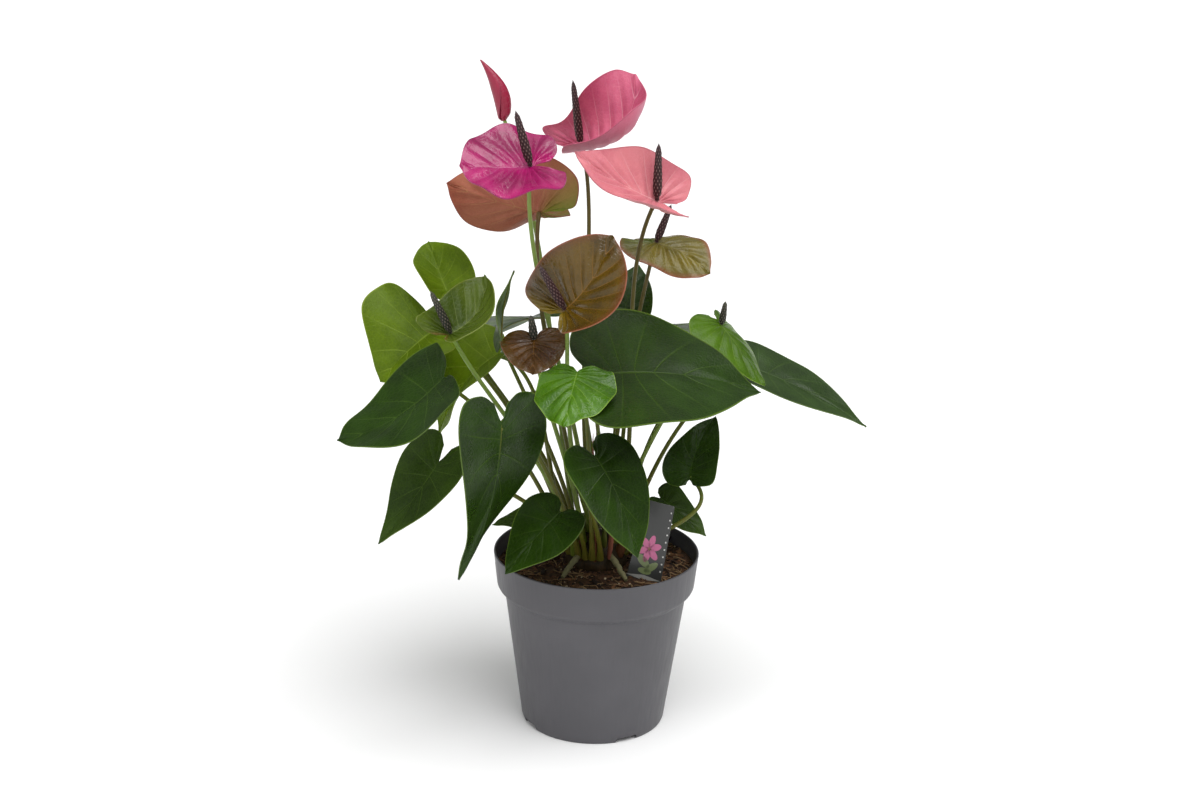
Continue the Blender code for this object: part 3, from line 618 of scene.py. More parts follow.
@dataclass(frozen=True)
class Blade:
    """A heart-shaped blade on a stem: where it hangs, how it points and how it is shaped.

    base is where the stem meets the blade, measured from the pot's axis and the medium's level.
    Angles are in degrees. lobe is in lengths, and full and blunt shape the margin towards the tip.
    wave is the height of the margin's ripples and quilt that of the pillows between the veins.
    """

    name: str
    base: tuple
    heading: float
    droop: float
    bank: float
    length: float
    width: float
    lobe: float
    full: float
    blunt: float
    folds: tuple
    curl: float
    arch: float
    twist: float
    sway: float
    skin: BladeSkin
    ring: int
    bearing: float
    bow: tuple = (0.0, 0.0, 0.0)
    spadix: tuple | None = None
    spadix_size: tuple = (0.0, 0.0)
    wave: float = 0.0015
    waves: float = 2.5
    quilt: float = 0.0005

    def axes(self) -> tuple:
        """Give the unit vectors along the midrib, to its left and out of the upper face."""
        heading, droop, bank = (math.radians(angle) for angle in (self.heading, self.droop, self.bank))
        along = Vector((math.cos(heading) * math.cos(droop), math.sin(heading) * math.cos(droop),
                        -math.sin(droop)))
        left = Vector((-math.sin(heading), math.cos(heading), 0.0))
        left = Matrix.Rotation(bank, 3, along) @ left
        return along, left, along.cross(left)

    def half_outline(self, share: float) -> Vector:
        """Give a point of the margin, from the notch at the base round to the tip.

        Args:
            share: 0 at the notch and 1 at the tip.

        Returns:
            x in lengths along the midrib and y in half widths away from it.
        """
        lobe, full, blunt = self.lobe, self.full, self.blunt
        points = [(-0.66 * lobe, 0.14), (-lobe, 0.42), (-0.72 * lobe, 0.82), (0.08, 1.0),
                  (0.42, (0.84 + 0.12 * blunt) * full), (0.72, (0.44 + 0.34 * blunt) * full),
                  (0.90, (0.15 + 0.30 * blunt) * full), (1.0, 0.0)]
        return curve_through([Vector(point) for point in points], share)

    def lay(self, x: float, flat: float, to_left: bool, lift_more: float = 0.0) -> Vector:
        """Lay a flat point of the blade on its folded, curled, twisted and arched surface.

        Args:
            x: how far along the midrib, in lengths.
            flat: how far from the midrib, in metres.
            to_left: on which side of the midrib.
            lift_more: how far it stands off the surface.

        Returns:
            The point in the row's frame.
        """
        along, left, out = self.axes()
        half = self.width / 2
        fold = math.radians(self.folds[0] if to_left else self.folds[1])
        curl = math.radians(self.curl) * flat / half
        if abs(curl) < 0.0001:
            sideways, lift = flat * math.cos(fold), flat * math.sin(fold)
        else:
            sideways = flat * (math.sin(fold + curl) - math.sin(fold)) / curl
            lift = flat * (math.cos(fold) - math.cos(fold + curl)) / curl
        soft = 2.0 * MM
        lift += (math.hypot(flat, soft) - soft - flat) * math.sin(fold) + lift_more
        sideways *= 1 if to_left else -1
        turn = math.radians(self.twist) * x
        sideways, lift = (sideways * math.cos(turn) - lift * math.sin(turn),
                          sideways * math.sin(turn) + lift * math.cos(turn))
        rise = 4 * x * (1 - x) if x > 0 else 4 * x
        lift += self.length * self.arch * rise
        sideways += self.length * self.sway * rise
        base = Vector(self.base) + Vector((0.0, 0.0, MEDIUM_LEVEL))
        return base + along * (x * self.length) + left * sideways + out * lift

    def place(self, share: float, across: float) -> Vector:
        """Place a grid point: rows run from the midrib out to the margin, as the side veins do.

        Args:
            share: the row, from 0 at the notch to 1 at the tip.
            across: from -1 at the right margin to 1 at the left one.

        Returns:
            The point in the row's frame.
        """
        reach = abs(across)
        margin = self.half_outline(share)
        rake = self.skin.rake
        rib = math.expm1(rake * share) / math.expm1(rake)
        x = rib + (margin.x - rib) * reach**1.25
        flat = margin.y * self.width / 2 * reach
        seed = sum(map(ord, self.name))
        pillow = (1 - math.cos(math.tau * self.skin.veins * share)) / 2
        lift = self.quilt * pillow * min(1.0, 4 * reach) * (1 - reach**4)
        phase = seed + (1.7 if across > 0 else 0.0)
        lift += self.wave * math.sin(math.tau * self.waves * share + phase) * reach**3 * math.sin(math.pi * share)
        lift += 0.014 * self.length * noise.noise(Vector((2.6 * x, 1.8 * across, seed))) * min(1.0, 3 * reach)
        return self.lay(x, flat, across > 0, lift)

    def sheet(self, name: str, thickness: float) -> bmesh.types.BMesh:
        """Lay a grid on the blade's surface and give it a thickness.

        Args:
            name: a name for the helper object.
            thickness: from the upper face to the underside.

        Returns:
            A closed bmesh with slot 0 above, slot 1 below and slot 2 round the margin.
        """
        shape = bmesh.new()
        uv = shape.loops.layers.uv.new(BLADE_MAP)
        bmesh.ops.create_grid(shape, x_segments=ROW_COUNT, y_segments=2 * COLUMN_COUNT, size=1.0)
        for face in shape.faces:
            for loop in face.loops:
                loop[uv].uv = ((loop.vert.co.x + 1) / 2, (loop.vert.co.y + 1) / 2)
        for vert in shape.verts:
            vert.co = self.place((vert.co.x + 1) / 2, vert.co.y)
        bmesh.ops.remove_doubles(shape, verts=shape.verts, dist=0.02 * MM)
        sides = [self.skin.material(side) for side in (Side.UPPER, Side.UNDER, Side.MARGIN)]
        helper = make_object(name + "_sheet", shape, sides)
        wall = helper.modifiers.new("thickness", "SOLIDIFY")
        wall.thickness = thickness
        wall.offset = 0.0
        wall.material_offset = 1
        wall.material_offset_rim = 2
        return applied(helper)

    def stem(self, end: Vector, arrive: Vector, stations: int) -> list:
        """Run a stem from its spot on the crown to its end.

        Args:
            end: where it ends.
            arrive: the direction in which it gets there.
            stations: how many points to give.

        Returns:
            Points along the stem, from the crown up.
        """
        spot, out = crown_spot(self.ring, self.bearing)
        start = spot + out * (PETIOLE_RADIUS * 0.6)
        span = (end - start).length
        leave = (out * 0.45 + Vector((0, 0, 1))).normalized()
        bow = Vector(self.bow)
        handles = (start, start + leave * span * 0.36 + bow, end - arrive * span * 0.30 + bow, end)
        return [bezier(handles, step / (stations - 1)) for step in range(stations)]


@dataclass(frozen=True)
class Leaf(Blade):
    """One leaf: blade, midrib and petiole grown together."""

    thickness: float = 0.0006
    stations: int = 30

    def girth(self, share: float) -> float:
        """Give the petiole's radius, with a sheathing foot and a swollen joint below the blade."""
        foot = 0.9 * max(0.0, 1 - share / 0.10)
        joint = 0.35 * max(0.0, 1 - abs(share - 0.96) / 0.04)
        return PETIOLE_RADIUS * (1.25 - 0.3 * share + foot + joint)

    def build(self) -> None:
        """Build the leaf and put it in the place of its CAD node."""
        along, _, out = self.axes()
        shape = self.sheet(self.name, self.thickness)
        end = self.lay(0.045, 0.0, True) - out * (0.5 * self.thickness)
        arrive = (along * 0.5 + out * 0.5 + Vector((0, 0, 0.3))).normalized()
        points = self.stem(end, arrive, self.stations)
        shares = [step / (self.stations - 1) for step in range(self.stations)]
        sweep(shape, points, [self.girth(share) for share in shares], 12, 3)
        rib = [0.02 + 0.94 * share for share in shares]
        girth = [MM * (1.25 - 1.05 * share) for share in shares]
        points = [self.lay(x, 0.0, True, -0.75 * radius) for x, radius in zip(rib, girth)]
        sweep(shape, points, girth, 8, 3)
        sides = [self.skin.material(side) for side in Side]
        obj = make_object("grown_" + self.name, shape, [*sides, LEAF_STEM.material()])
        show(obj, LEAF_SLOTS[self.skin.name], self.name)


@dataclass(frozen=True)
class Flower(Blade):
    """One flower: its stalk, its spathe and the spadix that stands on the spathe."""

    thickness: float = 0.0008
    quilt: float = 0.0014
    stations: int = 30
    stalk_skin: StemSkin = GREEN_STALK
    spike_skin: SpadixSkin = WINE_SPIKE

    def spike(self, name: str) -> bpy.types.Object:
        """Build the spadix: a tapering spike with florets in crossing spirals.

        Args:
            name: the piece's name.

        Returns:
            The finished object.
        """
        length, radius = self.spadix_size
        _, _, out = self.axes()
        foot = self.lay(0.05, 0.0, True) + out * 1.2 * MM
        swell = [Vector((size, 0)) for size in (0.45, 0.85, 1.0, 0.98, 0.90, 0.80, 0.70, 0.55, 0.0)]
        rings = round(length / 0.35 / MM)
        profile = [(0.0, 0.0)]
        for ring in range(rings + 1):
            share = ring / rings
            size = curve_through(swell, share**1.6 if share < 0.08 else share).x
            if share > 0.94:
                size *= math.sqrt(max(0.0, 1 - ((share - 0.94) / 0.06)**2))
            profile.append((max(0.02 * MM, radius * size), length * share))
        profile.append((0.0, length + 0.1 * MM))
        shape = turned(profile, 72)
        crest = shape.verts.layers.float.new("crest")
        reach = shape.verts.layers.float.new("reach")
        around = 8
        pitch = math.tau * radius / around / 1.05
        for vert in shape.verts:
            angle = math.atan2(vert.co.y, vert.co.x)
            height = vert.co.z / pitch * math.pi
            floret = abs(math.cos(around * angle / 2 + height / 2) * math.cos(around * angle / 2 - height / 2))
            vert[crest] = floret**0.7
            vert[reach] = vert.co.z / length
            side = Vector((vert.co.x, vert.co.y, 0.0))
            if side.length > 0.3 * radius:
                vert.co += side.normalized() * (floret**0.7 - 0.6) * 0.16 * radius
        turn = Vector(self.spadix).normalized().to_track_quat("Z", "X").to_matrix().to_4x4()
        bmesh.ops.transform(shape, matrix=Matrix.Translation(foot) @ turn, space=Matrix.Identity(4),
                            verts=shape.verts)
        return make_object(name, shape, [self.spike_skin.material()], 60)

    def build(self) -> None:
        """Build the three pieces and put them in the places of their CAD nodes."""
        _, _, out = self.axes()
        shape = self.sheet("spathe_" + self.name, self.thickness)
        spathe = make_object("grown_spathe_" + self.name, shape, [self.skin.material(side) for side in Side])
        show(spathe, "spathe_" + SPATHE_SLOTS[self.skin.name], "spathe_" + self.name)
        foot = self.lay(0.05, 0.0, True) - out * 1.0 * MM
        points = self.stem(foot, (out + Vector((0, 0, 0.6))).normalized(), self.stations)
        radii = []
        for step in range(self.stations):
            share = step / (self.stations - 1)
            flare = 0.25 * max(0.0, 1 - (1 - share) / 0.04) + 0.5 * max(0.0, 1 - share / 0.05)
            radii.append(STALK_RADIUS * (1.2 - 0.25 * share + flare))
        shape = bmesh.new()
        sweep(shape, points, radii, 14)
        stalk = make_object("grown_stalk_" + self.name, shape, [self.stalk_skin.material()])
        show(stalk, "stalk_brown" if self.stalk_skin is BROWN_STALK else "stalk_green", "stalk_" + self.name)
        spike = self.spike("grown_spadix_" + self.name)
        show(spike, "spadix_dark" if self.spike_skin is WINE_SPIKE else "spadix_green", "spadix_" + self.name)


@dataclass(frozen=True)
class Bud(Blade):
    """The unopened flower: a spathe still rolled about itself, on its stalk."""

    radii: tuple = (0.0022, 0.0056, 0.0072, 0.0066, 0.0036, 0.0004)
    bulge: float = 0.006
    turns: float = 1.30
    stations: int = 30

    def roll(self, share: float, angle_share: float) -> Vector:
        """Give a point of the rolled sheet.

        Args:
            share: from the foot to the tip.
            angle_share: from the inner edge of the roll to its outer one.

        Returns:
            The point in the row's frame.
        """
        along, left, out = self.axes()
        stops = [Vector((radius, 0)) for radius in self.radii]
        shares = (0.0, 0.08, 0.3, 0.55, 0.8, 1.0)
        after = max(i for i in range(5) if share >= shares[i])
        f = (share - shares[after]) / (shares[after + 1] - shares[after])
        radius = max(0.0003, curve_through(stops, (after + f) / 5).x)
        angle = math.tau * self.turns * (angle_share - 0.5) + 2.2 * share + 1.2
        size = radius * (0.76 + 0.24 * angle_share)
        lip = 0.06 * radius * max(0.0, angle_share - 0.9) * 10 * math.sin(math.tau * 2 * share)
        middle = Vector(self.base) + Vector((0.0, 0.0, MEDIUM_LEVEL)) + along * self.length * share
        middle += Vector((self.bulge, 0.0, 0.0)) * (4 * share * (1 - share))
        return middle + (left * math.cos(angle) + out * math.sin(angle)) * (size + lip)

    def build(self) -> None:
        """Build the rolled spathe and its stalk."""
        shape = bmesh.new()
        uv = shape.loops.layers.uv.new(BLADE_MAP)
        bmesh.ops.create_grid(shape, x_segments=60, y_segments=44, size=1.0)
        for face in shape.faces:
            for loop in face.loops:
                loop[uv].uv = ((loop.vert.co.x + 1) / 2, (loop.vert.co.y + 1) / 2)
        for vert in shape.verts:
            vert.co = self.roll((vert.co.x + 1) / 2, (vert.co.y + 1) / 2)
        sides = [self.skin.material(side) for side in (Side.UPPER, Side.UNDER, Side.MARGIN)]
        helper = make_object("spathe_bud_sheet", shape, sides)
        wall = helper.modifiers.new("thickness", "SOLIDIFY")
        wall.thickness = 0.5 * MM
        wall.offset = 0.0
        wall.material_offset = 1
        wall.material_offset_rim = 2
        bud = make_object("grown_spathe_bud", applied(helper), sides)
        show(bud, "spathe_crimson", "spathe_bud")
        along, _, _ = self.axes()
        foot = Vector(self.base) + Vector((0.0, 0.0, MEDIUM_LEVEL)) + along * 1.0 * MM
        points = self.stem(foot, along, self.stations)
        radii = [STALK_RADIUS * (1.2 - 0.3 * step / (self.stations - 1)) for step in range(self.stations)]
        shape = bmesh.new()
        sweep(shape, points, radii, 14)
        show(make_object("grown_stalk_bud", shape, [GREEN_STALK.material()]), "stalk_green", "stalk_bud")


LEAF_SLOTS = {"deep_leaf": "leaf_dark_green", "sheen_leaf": "leaf_dark_green", "mid_leaf": "leaf_mid_green",
              "light_leaf": "leaf_light_green", "young_leaf": "leaf_light_green"}
SPATHE_SLOTS = {"magenta_spathe": "magenta", "pink_spathe": "pink", "salmon_spathe": "salmon",
                "terracotta_spathe": "orange", "bronze_spathe": "bronze", "brown_spathe": "brown",
                "olive_spathe": "olive", "tan_spathe": "tan", "green_spathe": "green"}

LEAVES = (
    Leaf("leaf_right_large", (0.004, -0.054, 0.182), 11, 9, 22, 0.128, 0.146, 0.20, 1.10, 0.1,
         (4, 6), 0, 0.05, 0, 0.02, DEEP, 1, 318, wave=0.003, waves=3),
    Leaf("leaf_far_right", (0.122, 0.074, 0.153), -6, 25, 14, 0.116, 0.078, 0.15, 1.0, 0.1,
         (4, 10), 0, 0.03, 0, 0.02, DEEP_SHEEN, 2, 20, (0, 0.016, 0.010)),
    Leaf("leaf_left_dark", (-0.123, -0.052, 0.176), -170, 31, -18, 0.098, 0.109, 0.08, 0.94, 0.5,
         (12, -1), 0, 0.01, -4, 0.15, DEEP, 2, 198, wave=0.003, waves=3),
    Leaf("leaf_left_low", (-0.129, -0.030, 0.097), -143, 46, -14, 0.082, 0.068, 0.26, 0.90, 0.0,
         (10, 8), 0, 0.00, 6, 0.02, MID, 2, 211),
    Leaf("leaf_front_drooping", (-0.075, -0.106, 0.158), -183, 76, -108, 0.136, 0.105, 0.15, 0.98, 0.0,
         (-45, 28), 23, 0.05, -26, 0.05, DEEP, 2, 237, wave=0.004, waves=2),
    Leaf("leaf_front_low", (-0.003, -0.085, 0.125), -35, 60, -4, 0.086, 0.091, 0.16, 0.98, 0.1,
         (3, 3), 0, 0.06, 16, 0.0, DEEP, 2, 277),
    Leaf("leaf_over_rim", (-0.030, -0.070, 0.071), -149, 42, -12, 0.065, 0.066, 0.15, 0.99, 0.1,
         (2, 2), 0, 0.03, -10, 0.01, DEEP, 2, 250),
    Leaf("leaf_top_left", (-0.129, 0.056, 0.215), 113, -33, -3, 0.059, 0.060, 0.18, 1.02, 0.4,
         (30, 30), 18, 0.02, -20, 0.01, LIGHT_AND_BACKLIT, 2, 137, (0, 0.034, 0), wave=0.002, waves=2),
    Leaf("leaf_left_light", (-0.142, 0.060, 0.180), -157, 41, -20, 0.060, 0.126, 0.16, 1.01, 0.2,
         (20, 26), 10, 0.05, -10, 0.0, LIGHT_AND_BACKLIT, 2, 154, wave=0.004, waves=3),
    Leaf("leaf_left_inner", (-0.083, 0.032, 0.172), -162, 53, -5, 0.086, 0.096, 0.15, 1.0, 0.0,
         (20, 18), 8, 0.12, -8, 0.0, LIGHT_AND_BACKLIT, 2, 170, wave=0.003, waves=3),
    Leaf("leaf_left_upright", (-0.081, -0.012, 0.192), 61, -70, -41, 0.060, 0.046, 0.12, 1.0, 0.0,
         (-6, 18), 0, 0.06, -30, 0.0, MID, 1, 203),
    Leaf("leaf_young_centre", (-0.018, -0.076, 0.190), -101, 34, 2, 0.054, 0.062, 0.16, 1.18, 0.4,
         (-12, -12), 0, 0.02, 10, 0.0, YOUNG, 2, 263, wave=0.003, waves=4, quilt=0.0016),
    Leaf("leaf_right_small", (0.076, 0.010, 0.072), 69, -29, -8, 0.074, 0.049, 0.13, 1.06, 0.3,
         (19, 15), -11, -0.01, 6, 0.07, DEEP, 2, 338, (0.030, -0.004, 0)),
    Leaf("leaf_behind_label", (0.053, 0.034, 0.046), -20, 34, 14, 0.050, 0.046, 0.14, 1.0, 0.1,
         (6, 7), 0, 0.02, 0, 0.0, MID, 2, 358),
    Leaf("leaf_behind_centre", (0.018, 0.074, 0.196), 72, -38, 10, 0.052, 0.046, 0.16, 1.0, 0.2,
         (8, 8), 0, 0.05, 0, 0.0, DEEP, 1, 60),
    Leaf("leaf_low_sliver", (-0.052, 0.004, 0.038), -172, 10, -30, 0.036, 0.026, 0.14, 0.9, 0.0,
         (6, 6), 0, 0.04, 0, 0.0, MID, 2, 184),
    Leaf("leaf_right_hidden", (0.058, 0.094, 0.108), 20, 8, 6, 0.056, 0.044, 0.16, 0.85, 0.0,
         (6, 6), 0, 0.06, 0, 0.02, MID, 2, 40),
    Leaf("leaf_back_right", (0.036, 0.092, 0.182), 62, 26, 0, 0.094, 0.088, 0.20, 1.0, 0.1,
         (8, 8), 0, 0.06, 0, 0.0, DEEP, 2, 62),
    Leaf("leaf_back_centre", (-0.014, 0.078, 0.120), 100, 34, 0, 0.100, 0.088, 0.20, 1.0, 0.1,
         (8, 8), 0, 0.07, 0, 0.0, DEEP, 2, 88),
    Leaf("leaf_back_left", (-0.048, 0.086, 0.188), 126, 26, 0, 0.096, 0.088, 0.20, 1.0, 0.1,
         (8, 8), 0, 0.06, 0, 0.0, DEEP, 2, 112, (-0.014, -0.006, 0)),
)

FLOWERS = (
    Flower("magenta", (-0.055, -0.036, 0.342), -166, -2, -24, 0.058, 0.086, 0.36, 1.0, 1.0,
           (3, 3), 14, -0.03, -8, 0.0, MAGENTA, 0, 200, (0, 0, 0), (-0.27, -0.15, 1.0), (0.046, 0.0036),
           wave=0.004, waves=3, quilt=0.0020),
    Flower("pink", (-0.025, 0.068, 0.337), 9, -51, 22, 0.077, 0.073, 0.12, 1.30, 1.2,
           (-13, 5), 81, -0.11, 25, -0.25, PINK, 0, 100, (-0.025, 0, 0),
           (-0.13, -0.18, 1.0), (0.058, 0.0034),
           wave=0.003, waves=3, stalk_skin=BROWN_STALK),
    Flower("salmon", (0.044, -0.010, 0.310), -169, -31, -31, 0.081, 0.074, 0.24, 1.07, 0.1,
           (10, 10), 50, -0.03, -24, 0.02, SALMON, 1, 350, (0, 0.030, 0),
           (0.0, -0.02, 1.0), (0.046, 0.0036),
           wave=0.002, waves=3, stalk_skin=BROWN_STALK),
    Flower("orange", (-0.048, 0.012, 0.295), -180, -16, 48, 0.081, 0.100, 0.26, 0.84, 0.5,
           (10, 14), 39, 0.04, 76, -0.11, ORANGE, 1, 142, (0.004, -0.008, 0),
           (-0.2, 0.6, 0.7), (0.034, 0.0030),
           wave=0.003, waves=3, stalk_skin=BROWN_STALK),
    Flower("bronze", (-0.031, -0.054, 0.231), 9, -58, 24, 0.072, 0.091, 0.14, 1.03, 0.6,
           (11, 10), 16, 0.0, 39, -0.12, BRONZE, 0, 255, (-0.029, -0.012, 0),
           (-0.54, -0.22, 1.0), (0.043, 0.0034),
           wave=0.0015, quilt=0.0018),
    Flower("brown", (-0.053, -0.032, 0.203), -90, 24, 7, 0.043, 0.053, 0.28, 1.0, 0.6,
           (2, 2), 4, 0.02, -12, 0.0, BROWN, 1, 233, (0, 0, 0), (-0.15, 0.0, 1.0), (0.020, 0.0034),
           spike_skin=GREEN_SPIKE),
    Flower("green_left", (-0.119, -0.072, 0.216), 47, -45, 24, 0.057, 0.058, 0.12, 1.09, 0.7,
           (26, 29), 25, -0.08, -15, -0.15, OLIVE, 2, 224, (0.012, 0, 0),
           (-0.42, -0.25, 1.0), (0.040, 0.0032),
           wave=0.002, spike_skin=GREEN_SPIKE),
    Flower("olive_right", (0.040, 0.052, 0.263), -27, 20, 3, 0.056, 0.068, 0.37, 0.85, 0.6,
           (1, 1), -20, 0.09, 50, 0.0, TAN, 0, 0, (0, 0.024, 0), (0.36, 0.0, 1.0), (0.034, 0.0032),
           wave=0.002, waves=3, stalk_skin=BROWN_STALK),
    Flower("green_right", (0.096, 0.040, 0.200), -38, 43, -8, 0.066, 0.072, 0.20, 1.02, 0.2,
           (-10, -8), -14, 0.02, 0, 0.0, GREEN, 1, 24, (0, 0, 0),
           (0.12, 0.0, 1.0), (0.020, 0.0028),
           wave=0.0015, spike_skin=GREEN_SPIKE),
)

BUD = Bud("bud", (-0.083, 0.060, 0.360), 180, -68, 0, 0.052, 0.034, 0.05, 1.0, 0.0,
          (40, 40), 90, 0.03, 0, 0.0, CRIMSON, 1, 172, (0, 0.024, 0))


# ---------------------------------------------------------------- crown, roots and sheaths

@dataclass(frozen=True)
class Crown:
    """The short thick stem that every leaf and flower rises from, wrapped in old leaf bases."""

    depth: float = 0.010
    bracts: int = 17
    seed: int = 5

    def build(self) -> None:
        """Build the dome with its leaf bases."""
        level = MEDIUM_LEVEL + MEDIUM_CROWN
        profile = [(0.0, level + CROWN_HEIGHT)]
        for tilt in range(6, 91, 6):
            angle = math.radians(tilt)
            profile.append((CROWN_RADIUS * math.sin(angle), level + CROWN_HEIGHT * math.cos(angle)))
        profile += [(CROWN_RADIUS * 0.8, level - self.depth), (0.0, level - self.depth)]
        shape = turned(profile, 64)
        for vert in shape.verts:
            knob = noise.noise(vert.co * 160.0) * 1.6 * MM + noise.noise(vert.co * 420.0) * 0.6 * MM
            vert.co += Vector((vert.co.x, vert.co.y, 0.0)).normalized() * (knob - 1.0 * MM)
        dice = random.Random(self.seed)
        for count in range(self.bracts):
            ring = 1 + count % 2
            spot, out = crown_spot(ring, 360.0 * count / self.bracts + dice.uniform(-8, 8))
            height = dice.uniform(16, 30) * MM
            start = spot - out * 3.0 * MM
            lean = (out * 0.30 + Vector((0, 0, 1))).normalized()
            points = [start + lean * height * step / 7 + out * 1.6 * MM * math.sin(math.pi * step / 7)
                      for step in range(8)]
            girth = [size * MM for size in (4.4, 4.6, 4.2, 3.5, 2.7, 1.9, 1.1, 0.3)]
            sweep(shape, points, girth, 12, 1 + count % 2, 0.55)
        skins = [StemSkin("crown_skin", "#2a200e", "#343410", "#4a3418", 0.65),
                 StemSkin("green_base_skin", "#4a5418", "#5a6a20", "#6a5a28", 0.5),
                 StemSkin("red_base_skin", "#5c3a20", "#7a4a30", "#44280f", 0.6)]
        show(make_object("grown_crown", shape, [skin.material() for skin in skins]), "crown_stem", "crown")


@dataclass(frozen=True)
class AerialRoot:
    """A thick root that leaves the crown's side and runs down to the medium."""

    name: str
    bearing: float
    reach: float
    leaves: float = 0.012
    radii: tuple = (0.0024, 0.0025, 0.0024, 0.0023, 0.0021, 0.0016)

    def build(self) -> None:
        """Build the root with a knobbly skin."""
        turn = math.radians(self.bearing)
        out = Vector((math.cos(turn), math.sin(turn), 0.0))
        level = MEDIUM_LEVEL + MEDIUM_CROWN
        start = out * (CROWN_RADIUS - 2.0 * MM) + Vector((0, 0, level + self.leaves))
        end = out * (CROWN_RADIUS + self.reach) + Vector((0, 0, level + self.radii[1] - 1.0 * MM))
        bend = out * self.reach / 3
        handles = (start, start + bend, end - bend + Vector((0, 0, self.leaves / 3)), end)
        points, girth = [], []
        for step in range(25):
            share = step / 24
            girth.append(curve_through([Vector((radius, 0)) for radius in self.radii], share).x)
            points.append(bezier(handles, share) + 0.8 * MM * noise.noise_vector(Vector((share * 5, self.bearing, 0))))
        shape = bmesh.new()
        sweep(shape, points, girth, 16)
        for vert in shape.verts:
            vert.co += 0.5 * MM * noise.noise_vector(vert.co * 380.0)
        finish = DryFibre("root_skin", "#8a7a48", "#4a4220", (300.0, 300.0, 300.0), 0.7)
        show(make_object("grown_" + self.name, shape, [finish.material()]), "root_skin", self.name)


@dataclass(frozen=True)
class Sheath:
    """A papery red-brown sheath that stands on the crown beside young stems."""

    name: str
    ring: int
    bearing: float
    height: float
    radii: tuple = (0.0022, 0.0030, 0.0029, 0.0023, 0.0014, 0.0004)

    def build(self) -> None:
        """Build the sheath as a flattened pointed blade with a ridged skin."""
        spot, out = crown_spot(self.ring, self.bearing)
        start = spot + out * 2.0 * MM
        rise = out * 0.2 + Vector((0, 0, 1))
        points, girth = [], []
        for step in range(21):
            share = step / 20
            girth.append(1.15 * curve_through([Vector((radius, 0)) for radius in self.radii], share).x)
            points.append(start + rise * self.height * share + out * 0.9 * MM * math.sin(2.2 * math.pi * share))
        shape = bmesh.new()
        sweep(shape, points, girth, 16, 0, 0.5)
        for vert in shape.verts:
            vert.co += 0.25 * MM * noise.noise_vector(Vector((vert.co.x * 900, vert.co.y * 900, vert.co.z * 120)))
        finish = DryFibre("sheath_skin", "#9a5a3c", "#5a2a1a", (900.0, 900.0, 60.0), 0.55)
        show(make_object("grown_" + self.name, shape, [finish.material()]), "sheath_skin", self.name)


# ---------------------------------------------------------------- medium

